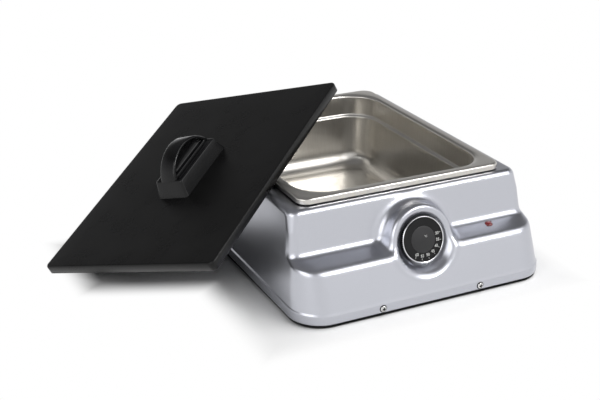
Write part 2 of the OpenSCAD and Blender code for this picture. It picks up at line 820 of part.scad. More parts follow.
// Dial: a hollow knob with a printed disc and a bright ring set into its front
module dial_knob() {
    skirt = dial_r - 0.4;
    seat = dial_h - ring_t;
    color([0.05, 0.05, 0.05]) at_boss() difference() {
        union() {
            translate([0, 0, dial_gap]) cylinder(r = skirt, h = seat - dial_gap, $fn = 96);
            translate([0, 0, dial_gap]) cylinder(r = dial_r - ring_w, h = dial_h - 0.6 - dial_gap, $fn = 96);
        }
        translate([0, 0, dial_h - 1.6]) cylinder(r = dial_r - ring_w - 1, h = 2, $fn = 96);
        difference() {
            translate([0, 0, dial_gap - over]) cylinder(r = skirt - 2.5, h = 4 + over, $fn = 96);
            translate([0, 0, dial_gap - 2 * over]) cylinder(r = shaft_d, h = 8);
        }
        difference() {
            translate([0, 0, dial_gap - over]) cylinder(d = shaft_d + 0.1, h = shaft_out - dial_gap + over);
            translate([shaft_d / 2 - 0.95, -shaft_d, shaft_out - 6]) cube([shaft_d, 2 * shaft_d, 8]);
        }
    }
}

module dial_disc() {
    color([0.08, 0.08, 0.08]) at_boss() translate([0, 0, dial_h - 1.6])
        cylinder(r = dial_r - ring_w - 1.05, h = 0.8, $fn = 96);
}

module dial_trim_ring() {
    color("gainsboro") at_boss() translate([0, 0, dial_h - ring_t]) difference() {
        cylinder(r = dial_r, h = ring_t, $fn = 96);
        translate([0, 0, -over]) cylinder(r = dial_r - ring_w + 0.02, h = ring_t + 2 * over, $fn = 96);
    }
}

// Pilot lamp on the step
lamp_neck = lamp_d - 1.6;
lamp_long = 22;
lamp_tail = 6;
lamp_tail_x = 2.2;

module pilot_lamp_lens() {
    color("darkred") at_lamp() {
        cylinder(d = lamp_d, h = 1.2);
        intersection() {
            translate([0, 0, 1.2 - lamp_d * 0.62]) sphere(d = lamp_d * 1.6, $fn = 64);
            translate([0, 0, 1.2]) cylinder(d = lamp_d - 1, h = 3);
        }
    }
}

module pilot_lamp_body() {
    color([0.1, 0.1, 0.1]) at_lamp() {
        translate([0, 0, -lamp_long]) cylinder(d = lamp_neck, h = lamp_long);
        for (s = [-1, 1])
            translate([s * lamp_tail_x, 0, -lamp_long - lamp_tail / 2 + over / 2])
                cube([0.8, 2.8, lamp_tail + over], center = true);
    }
}

module pilot_lamp_nut() {
    color("gainsboro") at_lamp() translate([0, 0, -wall - 3]) difference() {
        cylinder(d = lamp_d + 5, h = 2.5, $fn = 6);
        translate([0, 0, -over]) cylinder(d = lamp_neck + 0.05, h = 2.5 + 2 * over);
    }
}

// Mains inlet at the back
inlet_body_w = 27;
inlet_body_h = 19.6;
inlet_deep = 17;
inlet_plate = 3;

module inlet_screw_places() {
    for (s = [-1, 1]) translate([s * inlet_pitch / 2, 0, inlet_plate]) children();
}

module inlet_cutout() {
    translate([0, 0, -wall - over]) linear_extrude(wall + 2 * over)
        square([inlet_body_w + 0.8, inlet_body_h + 0.8], center = true);
    inlet_screw_places() translate([0, 0, -inlet_plate - 3 * wall]) cylinder(d = pin_d + 0.3, h = 4 * wall);
}

module mains_inlet() {
    color([0.1, 0.1, 0.1]) at_inlet() difference() {
        union() {
            linear_extrude(inlet_plate) rounded_rect(inlet_w, inlet_h, 5);
            translate([0, 0, -inlet_deep]) linear_extrude(inlet_deep + over)
                square([inlet_body_w, inlet_body_h], center = true);
        }
        translate([0, 0, 2 - inlet_deep]) linear_extrude(inlet_deep + inlet_plate) inlet_mouth();
        inlet_screw_places() translate([0, 0, -2 * inlet_plate])
            cylinder(d = pin_d + 0.1, h = 3 * inlet_plate);
        inlet_pin_places() translate([0, 0, -over]) linear_extrude(4) square([2.05, 4.05], center = true);
    }
}

// Six-sided mouth of the inlet, two of its corners cut off
module inlet_mouth() {
    w = 24 / 2;
    h = 16.4 / 2;
    cut = 4.5;
    polygon([[-w, -h], [w, -h], [w, h - cut], [w - cut, h], [cut - w, h], [-w, h - cut]]);
}

inlet_pin_xy = [[-7, -2], [7, -2], [0, 2]];
inlet_tail_l = 6;

module inlet_pin_places() {
    for (p = inlet_pin_xy) translate([p.x, p.y, -inlet_deep]) children();
}

module inlet_pins() {
    color("goldenrod") at_inlet() inlet_pin_places() {
        linear_extrude(13) square([2, 4], center = true);
        translate([0, 0, -inlet_tail_l]) linear_extrude(inlet_tail_l) square([0.8, 4], center = true);
    }
}

module inlet_screws() {
    color("gainsboro") at_inlet() inlet_screw_places() screw(pin_d, inlet_plate + wall + 4);
}

// Terminal block and earth stud on the tray, in the front of the housing
block_size = [38, 18, 15];
block_ways = 3;
block_from_foot = 41;
block_from_edge = 44;
block_at = [block_from_foot - foot_x, tray_front + block_from_edge, tray_top];
way_z = tray_top + 5.5;
way_in = 3;

function way_x(i) = (i - (block_ways - 1) / 2) * block_size.x / block_ways;

module terminal_block() {
    color("whitesmoke") translate(block_at) difference() {
        union() {
            translate([0, 0, block_size.z * 0.25])
                cube([block_size.x, block_size.y, block_size.z / 2], center = true);
            for (i = [0:block_ways - 1])
                translate([way_x(i), 0, block_size.z / 2])
                    cube([10, block_size.y - 4, block_size.z], center = true);
        }
        for (i = [0:block_ways - 1], s = [-1, 1])
            translate([way_x(i), s * 4, block_size.z - 5]) cylinder(d = 4.6, h = 6);
        for (i = [0:block_ways - 1])
            translate([way_x(i), 0, way_z - tray_top]) rotate([90, 0, 0])
                cylinder(d = 4, h = block_size.y + over, center = true);
    }
}

module terminal_screws() {
    color("gainsboro") translate(block_at) for (i = [0:block_ways - 1], s = [-1, 1])
        translate([way_x(i), s * 4, block_size.z - 5]) difference() {
            cylinder(d = 4.4, h = 3.5);
            translate([0, 0, 3.5]) cube([5, 0.9, 2], center = true);
        }
}

module earth_stud() {
    color("goldenrod") translate(earth_at) {
        translate([0, 0, -tray_t - 1.6]) cylinder(d = screw_d * 1.8, h = 1.6);
        translate([0, 0, -tray_t]) cylinder(d = screw_d, h = tray_t + 12);
        cylinder(d = screw_d * 2, h = screw_d * 0.8, $fn = 6);
        translate([0, 0, screw_d * 0.8]) cylinder(d = screw_d * 2.2, h = 1);
    }
}

// Leads inside the housing: each keeps to a lane of its own, and the earth stud stands beside theirs
lead_r = 1.3;
lane = 4;
joint_gap = 0.15;
lead_bend = 12;
lead_side = lead_bend + lead_r - tray_hw;
earth_from_edge = 112;
earth_at = [(lead_side - board_hw) / 2, tray_front + earth_from_edge, tray_top];

// Mouth of a terminal's way, at the block's back (+1) or front (-1)
function way_mouth(i, face) = [block_at.x + way_x(i), block_at.y + face * block_size.y / 2, way_z];

// From the inlet's tails round the left-hand side: two to the terminal block, one to the earth stud
module mains_leads() {
    turn_y = block_at.y + block_size.y / 2 + lead_bend;
    earth_tag = earth_at + [-screw_d * 1.1 - lead_r, 0, screw_d * 0.8];
    color("dimgray") for (i = [0:2]) {
        tail = inlet_tail(i, joint_gap);
        z = tray_top + lane * ([2, 0, 1][i] + 0.5);
        high = inlet_z - lane * ([0, 2, 1][i] + 2);
        rear = tail.y - lane - lead_r;
        way = way_mouth(i == 0 ? 0 : 2, 1);
        last = i == 2 ?
            [[lead_side, earth_at.y + 2 * lead_bend, z],
             earth_tag + [-lane, lane, 0],
             earth_tag] :
            [[lead_side, turn_y + lead_bend, z],
             [lead_side + lead_bend, turn_y, z],
             [way.x - lane, turn_y, z],
             way + [0, lane, 0],
             way - [0, way_in, 0]];
        tube_path(concat([
            tail,
            inlet_tail(i, lane),
            [tail.x, rear, high],
            [tail.x - lead_bend, rear, high],
            [-board_hw, rear, high],
            [lead_side, rear - lead_bend, high],
            [lead_side, rear - 4 * lead_bend, z]
        ], last), lead_r);
    }
}

// A point past the tail of an inlet pin, in the tank's frame
function inlet_tail(i, past) =
    let (p = inlet_pin_xy[i], z = -inlet_deep - inlet_tail_l - past)
    [p.x, back_at(inlet_z) + p.y * sin(draft_angle) + z * cos(draft_angle),
     inlet_z - p.y * cos(draft_angle) + z * sin(draft_angle)];

// From the element's studs: one to the back of the block, one round to its front
module element_leads() {
    tip = -heater_d / 2 + end_in - end_stud - joint_gap;
    near = way_mouth(1, 1);
    far = way_mouth(2, -1);
    color("firebrick") {
        tube_path([
            [run_x(0), tip, element_z],
            [run_x(0), tip - lane, element_z],
            near + [0, 2 * lane, 0],
            near - [0, way_in, 0]
        ], lead_r);
        tube_path([
            [run_x(element_runs - 1), tip, element_z],
            [run_x(element_runs - 1), tip - 2 * lane, element_z],
            [run_x(element_runs - 1) - lead_bend, far.y, way_z],
            [run_x(element_runs - 1) - 2 * lead_bend, far.y - 2 * lane, way_z],
            [far.x + lead_bend, far.y - 2 * lane, way_z],
            far - [0, 1.5 * lane, 0],
            far + [0, way_in, 0]
        ], lead_r);
    }
}

// From the lamp's tails along the front to the block
module lamp_leads() {
    color("firebrick") for (i = [0, 1]) {
        x = i == 0 ? lamp_tail_x : -lamp_tail_x;
        tail = lamp_point([x, 0, -lamp_long - lamp_tail - joint_gap]);
        way = way_mouth(i, -1);
        row = way.y - lane * (4 - i);
        tube_path([
            tail,
            lamp_point([x, 0, -lamp_long - lamp_tail - lane]),
            [tail.x, row + lane, way_z + lead_bend],
            [tail.x - 2 * lane, row, way_z],
            [way.x + lead_bend, row, way_z],
            way - [0, 1.5 * lane, 0],
            way + [0, way_in, 0]
        ], lead_r);
    }
}

// A point of the lamp's frame, in the tank's frame
function lamp_point(p) =
    [lamp_x + p.x,
     step_back_y - lamp_out + p.y * cos(step_slope) - p.z * sin(step_slope),
     step_back_z - lamp_out * tan(step_slope) + p.y * sin(step_slope) + p.z * cos(step_slope)];

// Lid, in its own frame: its low corner at the origin, its outside along +Z
handle_screw_y = 32;

module lid_panel() {
    color([0.1, 0.1, 0.1]) at_lid() difference() {
        translate([lid_w / 2, lid_l / 2, 0]) linear_extrude(lid_h) rounded_rect(lid_w, lid_l, lid_corner_r);
        translate([lid_w / 2, lid_l / 2, -over]) linear_extrude(lid_h - lid_plate + over)
            rounded_rect(lid_w - 2 * lid_skirt, lid_l - 2 * lid_skirt, lid_corner_r - lid_skirt);
        for (s = [-1, 1])
            translate([lid_w / 2, lid_l / 2 + s * handle_screw_y, 0])
                cylinder(d = screw_d + 0.4, h = lid_h + over);
    }
}

// Side profile of a block that narrows upwards
module taper(foot, top, h) {
    polygon([[-foot / 2, 0], [foot / 2, 0], [top / 2, h], [-top / 2, h]]);
}

module lid_handle() {
    grip_r = (grip_l * grip_l / 4 + grip_h * grip_h) / (2 * grip_h);
    grip_mid = plinth_h + grip_h - grip_r;
    rim = 4.5;
    color([0.05, 0.05, 0.05]) at_handle() difference() {
        union() {
            intersection() {
                rotate([90, 0, 0]) linear_extrude(plinth_l + over, center = true)
                    taper(plinth_w, plinth_w - 5, plinth_h);
                rotate([90, 0, 90]) linear_extrude(plinth_w + over, center = true)
                    taper(plinth_l, plinth_l - 14, plinth_h);
            }
            intersection() {
                translate([0, 0, grip_mid]) rotate([0, 90, 0])
                    cylinder(r = grip_r, h = grip_t, center = true, $fn = 128);
                translate([0, 0, plinth_h + grip_h / 2 - over])
                    cube([grip_t, grip_l, grip_h + 2 * over], center = true);
            }
        }
        for (s = [-1, 1]) intersection() {
            translate([s * grip_t / 2, 0, grip_mid]) rotate([0, 90, 0])
                cylinder(r = grip_r - rim, h = 2 * rim, center = true, $fn = 128);
            translate([s * grip_t / 2, 0, plinth_h + grip_h / 2 + 2])
                cube([2 * rim, grip_l, grip_h], center = true);
        }
        for (s = [-1, 1])
            translate([0, s * handle_screw_y, -over]) cylinder(d = screw_d + 0.1, h = plinth_h - 5 + over);
    }
}

module lid_screws() {
    color("gainsboro") at_handle() for (s = [-1, 1])
        translate([0, s * handle_screw_y, -lid_plate]) rotate([180, 0, 0]) screw(screw_d, lid_plate + 11);
}

housing();
base_tray();
flange_screws();
rubber_feet();
foot_screws();
foot_nuts();
pan();
heater_plate();
heating_element();
element_ends();
element_clamps();
clamp_screws();
insulating_board();
standoffs();
plate_screws();
tray_screws();
thermal_cutout();
thermostat_case();
thermostat_screws();
sensor_bulb();
bulb_clips();
capillary_tube();
thermostat_shaft();
dial_knob();
dial_disc();
dial_trim_ring();
pilot_lamp_lens();
pilot_lamp_body();
pilot_lamp_nut();
mains_inlet();
inlet_pins();
inlet_screws();
terminal_block();
terminal_screws();
earth_stud();
mains_leads();
element_leads();
lamp_leads();
lid_panel();
lid_handle();
lid_screws();
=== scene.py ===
"""Looks of a chocolate melting tank: silver moulded housing, steel pan, black lid and turning dial.

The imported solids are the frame. Sizes are in millimetres until a mesh is made from them.
"""

import json
import logging
import math
from dataclasses import dataclass
from enum import Enum
from typing import Any, Callable, Dict, List, Optional, Sequence, Tuple, Union

import bmesh
import bpy
import numpy as np
from mathutils import Matrix, Vector

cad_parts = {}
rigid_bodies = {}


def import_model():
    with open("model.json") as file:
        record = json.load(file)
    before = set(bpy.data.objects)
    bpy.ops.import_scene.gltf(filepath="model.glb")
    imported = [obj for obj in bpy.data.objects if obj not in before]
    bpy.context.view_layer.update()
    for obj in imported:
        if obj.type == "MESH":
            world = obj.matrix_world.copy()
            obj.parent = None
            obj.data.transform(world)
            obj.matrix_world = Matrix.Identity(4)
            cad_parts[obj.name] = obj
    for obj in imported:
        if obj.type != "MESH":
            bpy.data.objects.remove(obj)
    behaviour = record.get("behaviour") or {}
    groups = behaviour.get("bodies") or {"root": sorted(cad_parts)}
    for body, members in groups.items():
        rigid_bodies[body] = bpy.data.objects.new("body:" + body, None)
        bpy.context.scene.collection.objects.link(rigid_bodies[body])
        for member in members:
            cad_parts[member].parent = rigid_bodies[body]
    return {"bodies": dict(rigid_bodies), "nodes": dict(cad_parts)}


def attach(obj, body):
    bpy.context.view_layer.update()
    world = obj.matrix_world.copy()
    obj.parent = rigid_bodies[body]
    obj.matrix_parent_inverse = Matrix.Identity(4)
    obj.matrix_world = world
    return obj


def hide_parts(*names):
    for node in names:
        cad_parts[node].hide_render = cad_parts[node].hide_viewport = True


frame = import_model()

MM = 0.001
DOUBLES = 1e-3 * MM
TINY = 1e-12
LOG = logging.getLogger("melting_tank")
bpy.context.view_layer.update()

Pair = Tuple[float, float]
Point = Tuple[float, float, float]
Colour = Tuple[float, float, float]
Faces = List[Tuple[int, ...]]
Value = Union["Sock", float, int, Sequence[float]]


class Body(Enum):
    """Bodies of the tank that move on their own."""

    TANK = "tank"
    PAN = "pan"
    LID = "lid"
    DIAL = "dial"


class Sock:
    """A node's output that takes part in arithmetic."""

    def __init__(self, nodes: "Nodes", socket: bpy.types.NodeSocket) -> None:
        """Keep the socket and the tree that it belongs to."""
        self.nodes = nodes
        self.socket = socket

    def __add__(self, other: Value) -> "Sock":
        """Sum."""
        return self.nodes.math("ADD", self, other)

    def __sub__(self, other: Value) -> "Sock":
        """Difference."""
        return self.nodes.math("SUBTRACT", self, other)

    def __rsub__(self, other: Value) -> "Sock":
        """Difference, from the right."""
        return self.nodes.math("SUBTRACT", other, self)

    def __mul__(self, other: Value) -> "Sock":
        """Product."""
        return self.nodes.math("MULTIPLY", self, other)


class Nodes:
    """Makes the nodes of one tree."""

    def __init__(self, tree: bpy.types.NodeTree) -> None:
        """Keep the tree."""
        self.tree = tree

    def node(
        self,
        kind: str,
        settings: Optional[Dict[str, Any]] = None,
        sockets: Optional[Dict[Union[str, int], Any]] = None,
    ) -> bpy.types.Node:
        """Add a node.

        Args:
            kind: The node's type.
            settings: Its properties, set first; stops gives a ramp's stops.
            sockets: Values or links of its inputs, by name or number.

        Returns:
            The node.
        """
        made = self.tree.nodes.new(kind)
        for key, value in (settings or {}).items():
            if key == "stops":
                self.set_stops(made.color_ramp, value)
            else:
                setattr(made, key, value)
        for key, value in (sockets or {}).items():
            self.feed(made.inputs[key], value)
        return made

    def set_stops(self, ramp: bpy.types.ColorRamp, stops: Sequence[Tuple[float, Colour]]) -> None:
        """Give a ramp its stops."""
        while len(ramp.elements) < len(stops):
            ramp.elements.new(1.0)
        for element, (place, colour) in zip(ramp.elements, stops):
            element.position = place
            element.color = (*colour, 1.0)

    def feed(self, socket: bpy.types.NodeSocket, value: Any) -> None:
        """Link a socket, or set its value."""
        if isinstance(value, Sock):
            self.tree.links.new(value.socket, socket)
        elif socket.type == "RGBA" and len(value) == 3:
            socket.default_value = (*value, 1.0)
        else:
            socket.default_value = value

    def out(self, made: bpy.types.Node, key: Union[str, int] = 0) -> Sock:
        """Wrap one of a node's outputs."""
        return Sock(self, made.outputs[key])

    def math(self, operation: str, *values: Value) -> Sock:
        """Add a Math node on the values."""
        return self.out(self.node("ShaderNodeMath", {"operation": operation}, dict(enumerate(values))))

    def vector(self, operation: str, *values: Value) -> Sock:
        """Add a Vector Math node on the vectors."""
        return self.out(self.node("ShaderNodeVectorMath", {"operation": operation}, dict(enumerate(values))))

    def mix(self, factor: Value, a: Value, b: Value) -> Sock:
        """Mix two colours."""
        return self.out(self.node("ShaderNodeMix", {"data_type": "RGBA"}, {0: factor, 6: a, 7: b}), 2)

    def span(self, value: Value, low: float, high: float, a: float = 0.0, b: float = 1.0) -> Sock:
        """Map low to high onto a to b, held at the ends."""
        sockets = {0: value, 1: low, 2: high, 3: a, 4: b}
        return self.out(self.node("ShaderNodeMapRange", {"interpolation_type": "SMOOTHSTEP"}, sockets))

    def noise(self, at: Sock, size: float, detail: float, seed: float = 0.0) -> Sock:
        """Noise whose lumps measure about size millimetres."""
        sockets = {"Vector": at, "W": seed, "Scale": 1.0 / size, "Detail": detail, "Roughness": 0.55}
        return self.out(self.node("ShaderNodeTexNoise", {"noise_dimensions": "4D"}, sockets))

    def place(self, stretch: Point = (1.0, 1.0, 1.0)) -> Sock:
        """The point on the piece, in millimetres, stretched along the axes."""
        coords = self.out(self.node("ShaderNodeTexCoord"), "Object")
        return self.vector("MULTIPLY", coords, tuple(1.0 / (MM * s) for s in stretch))


def fresh_nodes(owner: Any) -> Nodes:
    """The emptied node tree of a material or world."""
    owner.use_nodes = True
    owner.node_tree.nodes.clear()
    return Nodes(owner.node_tree)


@dataclass(frozen=True)
class Finish:
    """A finish with mottled colour, uneven gloss and a fine grain."""

    slot: str
    colour: Colour
    second: Colour
    roughness: float
    uneven: float = 0.06
    metallic: float = 0.0
    mottle: float = 14.0
    grain: float = 0.6
    depth: float = 0.02
    stretch: Point = (1.0, 1.0, 1.0)
    coat: float = 0.0
    coat_roughness: float = 0.08
    gloss: float = 0.5
    clear: float = 0.0
    patch_span: Pair = (0.3, 0.7)

    def surface(self, n: Nodes) -> Dict[str, Value]:
        """Work out what varies over the surface.

        Args:
            n: The material's nodes.

        Returns:
            Values of the shader's inputs, and the height under Bump.
        """
        at = n.place(self.stretch)
        blotch = n.span(n.noise(at, self.mottle, detail=5.0), *self.patch_span)
        fine = n.noise(at, self.grain, detail=2.0, seed=3.0)
        rough = (blotch - 0.5) * self.uneven + (fine - 0.5) * self.uneven + self.roughness
        return {"Base Color": n.mix(blotch, self.colour, self.second), "Roughness": rough, "Bump": fine}

    def material(self) -> bpy.types.Material:
        """The finish as a material, made once."""
        name = self.slot + "_finish"
        made = bpy.data.materials.get(name)
        if made is None:
            made = bpy.data.materials.new(name)
            made.diffuse_color = (*self.colour, 1.0)
            self.wire(fresh_nodes(made))
        return made

    def wire(self, n: Nodes) -> None:
        """Join the surface to the shader and the output."""
        inputs = self.surface(n)
        bump = {"Strength": 1.0, "Distance": self.depth * MM, "Height": inputs.pop("Bump")}
        shader = n.node("ShaderNodeBsdfPrincipled", {}, {
            "Metallic": self.metallic,
            "Specular IOR Level": self.gloss,
            "Coat Weight": self.coat,
            "Coat Roughness": self.coat_roughness,
            "Transmission Weight": self.clear,
            "Normal": n.out(n.node("ShaderNodeBump", {}, bump)),
            **inputs,
        })
        n.node("ShaderNodeOutputMaterial", {}, {"Surface": n.out(shader)})


@dataclass(frozen=True)
class Lacquer(Finish):
    """Silver lacquer over a moulding: metal flakes, a soft orange peel and faint rubbed places."""

    flake: float = 0.28
    flake_span: Pair = (0.25, 0.75)
    flake_gloss: float = 0.02
    flake_height: float = 0.12
    peel: float = 3.5
    rub: float = 55.0
    rub_span: Pair = (0.35, 0.75)

    def surface(self, n: Nodes) -> Dict[str, Value]:
        """Work out flakes, peel and rubbed gloss.

        Args:
            n: The material's nodes.

        Returns:
            Values of the shader's inputs, and the height under Bump.
        """
        at = n.place()
        flakes = n.noise(at, self.flake, detail=1.0)
        rubbed = n.span(n.noise(at, self.rub, detail=4.0, seed=2.0), *self.rub_span)
        peel = n.noise(at, self.peel, detail=2.0, seed=5.0)
        return {
            "Base Color": n.mix(n.span(flakes, *self.flake_span), self.second, self.colour),
            "Roughness": rubbed * self.uneven + flakes * self.flake_gloss + self.roughness,
            "Bump": peel + flakes * self.flake_height,
        }


@dataclass(frozen=True)
class DrawnSteel(Finish):
    """Pressed stainless sheet: fine draw lines and a soft smear of handling."""

    draw: Point = (0.9, 0.9, 0.03)
    draw_gloss: float = 0.02
    smear: float = 26.0
    smear_span: Pair = (0.35, 0.7)

    def surface(self, n: Nodes) -> Dict[str, Value]:
        """Work out draw lines and smears.

        Args:
            n: The material's nodes.

        Returns:
            Values of the shader's inputs, and the height under Bump.
        """
        at = n.place()
        lines = n.noise(n.vector("MULTIPLY", at, self.draw), 1.0, detail=2.0)
        smear = n.span(n.noise(at, self.smear, detail=4.0, seed=1.0), *self.smear_span)
        return {
            "Base Color": n.mix(n.span(lines, *self.patch_span), self.second, self.colour),
            "Roughness": smear * self.uneven + lines * self.draw_gloss + self.roughness,
            "Bump": lines,
        }


@dataclass(frozen=True)
class Spangle(Finish):
    """Zinc coat that has set in flat crystals."""

    crystal: float = 7.0
    crystal_height: float = 0.4
    fine_gloss: float = 0.08

    def surface(self, n: Nodes) -> Dict[str, Value]:
        """Work out the crystals.

        Args:
            n: The material's nodes.

        Returns:
            Values of the shader's inputs, and the height under Bump.
        """
        at = n.place()
        cells = n.node("ShaderNodeTexVoronoi", {}, {"Vector": at, "Scale": 1.0 / self.crystal})
        tint = n.out(n.node("ShaderNodeSeparateColor", {}, {0: n.out(cells, 1)}))
        fine = n.noise(at, self.grain, detail=2.0)
        return {
            "Base Color": n.mix(tint, self.second, self.colour),
            "Roughness": tint * self.uneven + (fine - 0.5) * self.fine_gloss + self.roughness,
            "Bump": tint * self.crystal_height + fine,
        }


SILVER = Lacquer("silver_moulding", (0.57, 0.58, 0.625), (0.49, 0.50, 0.545), 0.28, 0.03, 1.0, depth=0.0012)
STEEL = DrawnSteel("stainless", (0.65, 0.63, 0.595), (0.61, 0.59, 0.55), 0.278, 0.02, 1.0, depth=0.0003)
ZINC = Spangle("zinc_sheet", (0.66, 0.68, 0.70), (0.46, 0.48, 0.50), 0.34, 0.16, 0.95, grain=0.8, depth=0.01)
LID_BLACK = Finish("lid_black", (0.005, 0.005, 0.005), (0.007, 0.007, 0.007), 0.29, 0.05, 0.0, 40.0, 0.55,
                   0.004, gloss=0.25)
GLOSS = Finish("black_gloss", (0.004, 0.004, 0.0045), (0.006, 0.006, 0.0065), 0.15, 0.04, 0.0, 22.0, 1.6,
               0.005, gloss=0.28)
MATTE = Finish("black_matte", (0.010, 0.010, 0.011), (0.016, 0.016, 0.017), 0.42, 0.08, 0.0, 9.0, 0.4, 0.02)
PRINT = Finish("dial_print", (0.82, 0.82, 0.80), (0.74, 0.74, 0.72), 0.48, 0.08, 0.0, 1.2, 0.25, 0.01)
TRIM = Finish("bright_trim", (0.80, 0.80, 0.81), (0.70, 0.70, 0.71), 0.16, 0.06, 1.0, 5.0, 0.4, 0.004)
LENS = Finish("red_lens", (0.16, 0.006, 0.008), (0.24, 0.010, 0.012), 0.12, 0.05, 0.0, 2.6, 1.3, 0.05,
              coat=0.8, clear=0.15)
RUBBER = Finish("rubber", (0.018, 0.018, 0.018), (0.034, 0.033, 0.032), 0.74, 0.12, 0.0, 5.0, 0.5, 0.06)
PLATED = Finish("plated_steel", (0.70, 0.70, 0.69), (0.54, 0.54, 0.53), 0.24, 0.10, 1.0, 2.2, 0.3, 0.01)
PLATE = Finish("aluminium_plate", (0.74, 0.75, 0.76), (0.62, 0.63, 0.64), 0.36, 0.12, 1.0, 9.0, 0.5, 0.02,
               (0.35, 14.0, 1.0))
SHEATH = Finish("element_sheath", (0.16, 0.15, 0.14), (0.30, 0.25, 0.20), 0.46, 0.18, 0.85, 6.0, 0.5, 0.03)
CERAMIC = Finish("ceramic", (0.78, 0.75, 0.66), (0.70, 0.66, 0.56), 0.42, 0.10, 0.0, 3.0, 0.4, 0.02)
MICA = Finish("mica_board", (0.52, 0.45, 0.33), (0.70, 0.64, 0.50), 0.48, 0.22, 0.0, 2.6, 0.7, 0.04)
BRASS = Finish("brass", (0.72, 0.52, 0.22), (0.56, 0.40, 0.17), 0.28, 0.12, 1.0, 3.0, 0.3, 0.01)
COPPER = Finish("copper", (0.80, 0.42, 0.26), (0.58, 0.30, 0.19), 0.30, 0.14, 1.0, 7.0, 0.4, 0.01)
PHENOLIC = Finish("brown_phenolic", (0.11, 0.045, 0.022), (0.16, 0.065, 0.03), 0.34, 0.08, 0.0, 3.0, 0.5,
                  0.02)
WHITE = Finish("white_plastic", (0.76, 0.75, 0.71), (0.70, 0.69, 0.64), 0.40, 0.08, 0.0, 8.0, 0.5, 0.02)
WIRE_BLACK = Finish("black_insulation", (0.022, 0.022, 0.023), (0.034, 0.034, 0.035), 0.44, 0.1, 0.0, 6.0,
                    0.5, 0.02)
WIRE_RED = Finish("red_insulation", (0.36, 0.022, 0.018), (0.27, 0.016, 0.014), 0.44, 0.1, 0.0, 6.0, 0.5,
                  0.02)

SOFTENED = (
    ("mains_inlet", MATTE, 0.45), ("base_tray", ZINC, 0.4), ("terminal_block", CERAMIC, 0.5),
    ("thermostat_case", WHITE, 0.6), ("thermal_cutout", PHENOLIC, 0.3), ("heater_plate", PLATE, 0.3),
)
KEPT_SOLIDS = (
    (PLATED, ("foot_screws", "foot_nuts", "element_clamps", "clamp_screws", "standoffs", "plate_screws",
              "tray_screws", "thermostat_screws", "bulb_clips", "thermostat_shaft", "pilot_lamp_nut",
              "inlet_screws", "terminal_screws", "lid_screws")),
    (SHEATH, ("heating_element",)),
    (CERAMIC, ("element_ends",)),
    (MICA, ("insulating_board",)),
    (COPPER, ("sensor_bulb", "capillary_tube")),
    (MATTE, ("pilot_lamp_body",)),
    (BRASS, ("inlet_pins", "earth_stud")),
    (WIRE_BLACK, ("mains_leads", "lamp_leads")),
    (WIRE_RED, ("element_leads",)),
)


def rounded_path(points: Sequence[Point], steps: int) -> np.ndarray:
    """Round the corners of a flat path.

    Args:
        points: Corners, each with the radius of its rounding.
        steps: Segments of each rounding.

    Returns:
        Points of the rounded path.
    """
    flat = np.array([p[:2] for p in points], float)
    out: List[np.ndarray] = []
    for i, (_, _, radius) in enumerate(points):
        here = flat[i]
        if radius <= 0:
            out.append(here)
            continue
        before, after = flat[i - 1], flat[i + 1]
        a = (before - here) / np.linalg.norm(before - here)
        b = (after - here) / np.linalg.norm(after - here)
        half = math.acos(float(np.clip(a @ b, -1, 1))) / 2
        reach = radius / math.tan(half)
        middle = here + (a + b) / np.linalg.norm(a + b) * radius / math.sin(half)
        start, end = here + a * reach - middle, here + b * reach - middle
        turn = math.atan2(start[0] * end[1] - start[1] * end[0], start @ end)
        for k in range(steps + 1):
            c, s = math.cos(turn * k / steps), math.sin(turn * k / steps)
            out.append(middle + (c * start[0] - s * start[1], s * start[0] + c * start[1]))
    return np.array(out)


def split_path(path: np.ndarray, gap: float) -> np.ndarray:
    """Add points to a path, so that none are further apart than gap."""
    out = [path[0]]
    for a, b in zip(path[:-1], path[1:]):
        count = max(1, math.ceil(np.linalg.norm(b - a) / gap))
        out.extend(a + (b - a) * k / count for k in range(1, count + 1))
    return np.array(out)


@dataclass(frozen=True)
class Outline:
    """Points round a rounded oblong, always as many, so that one outline can be joined to the next."""

    front: Tuple[float, ...]
    back: Tuple[float, ...]
    side: int
    corner: int

    def ring(self, half: float, y0: float, y1: float, r0: float, r1: float) -> np.ndarray:
        """One outline, anticlockwise from the front's left end.

        Args:
            half: Half width.
            y0: Front.
            y1: Back.
            r0: Radius of the front corners.
            r1: Radius of the back corners.

        Returns:
            Points of the outline.
        """
        ends = np.linspace(0, 1, self.side + 1)
        turn = np.linspace(0, math.pi / 2, self.corner + 1)[1:-1]
        pts = [(u * (half - r0), y0) for u in self.front]
        pts += [(half - r0 + r0 * math.sin(t), y0 + r0 - r0 * math.cos(t)) for t in turn]
        pts += [(half, y0 + r0 + (y1 - r1 - y0 - r0) * k) for k in ends]
        pts += [(half - r1 + r1 * math.cos(t), y1 - r1 + r1 * math.sin(t)) for t in turn]
        pts += [(-u * (half - r1), y1) for u in self.back]
        pts += [(-half + r1 - r1 * math.sin(t), y1 - r1 + r1 * math.cos(t)) for t in turn]
        pts += [(-half, y1 - r1 + (y0 + r0 - y1 + r1) * k) for k in ends]
        pts += [(-half + r0 - r0 * math.cos(t), y0 + r0 - r0 * math.sin(t)) for t in turn]
        return np.array(pts)

    def even(self, half_x: float, half_y: float, r: float) -> np.ndarray:
        """An outline about the origin with four like corners."""
        return self.ring(half_x, -half_y, half_y, r, r)


def even_outline(count: int, side: int, corner: int) -> Outline:
    """An outline whose front and back are split evenly."""
    split = tuple(np.linspace(-1, 1, count))
    return Outline(split, split, side, corner)


def mapped(points: np.ndarray, matrix: Matrix) -> np.ndarray:
    """Points carried by a matrix."""
    m = np.array(matrix)
    return points @ m[:3, :3].T + m[:3, 3]


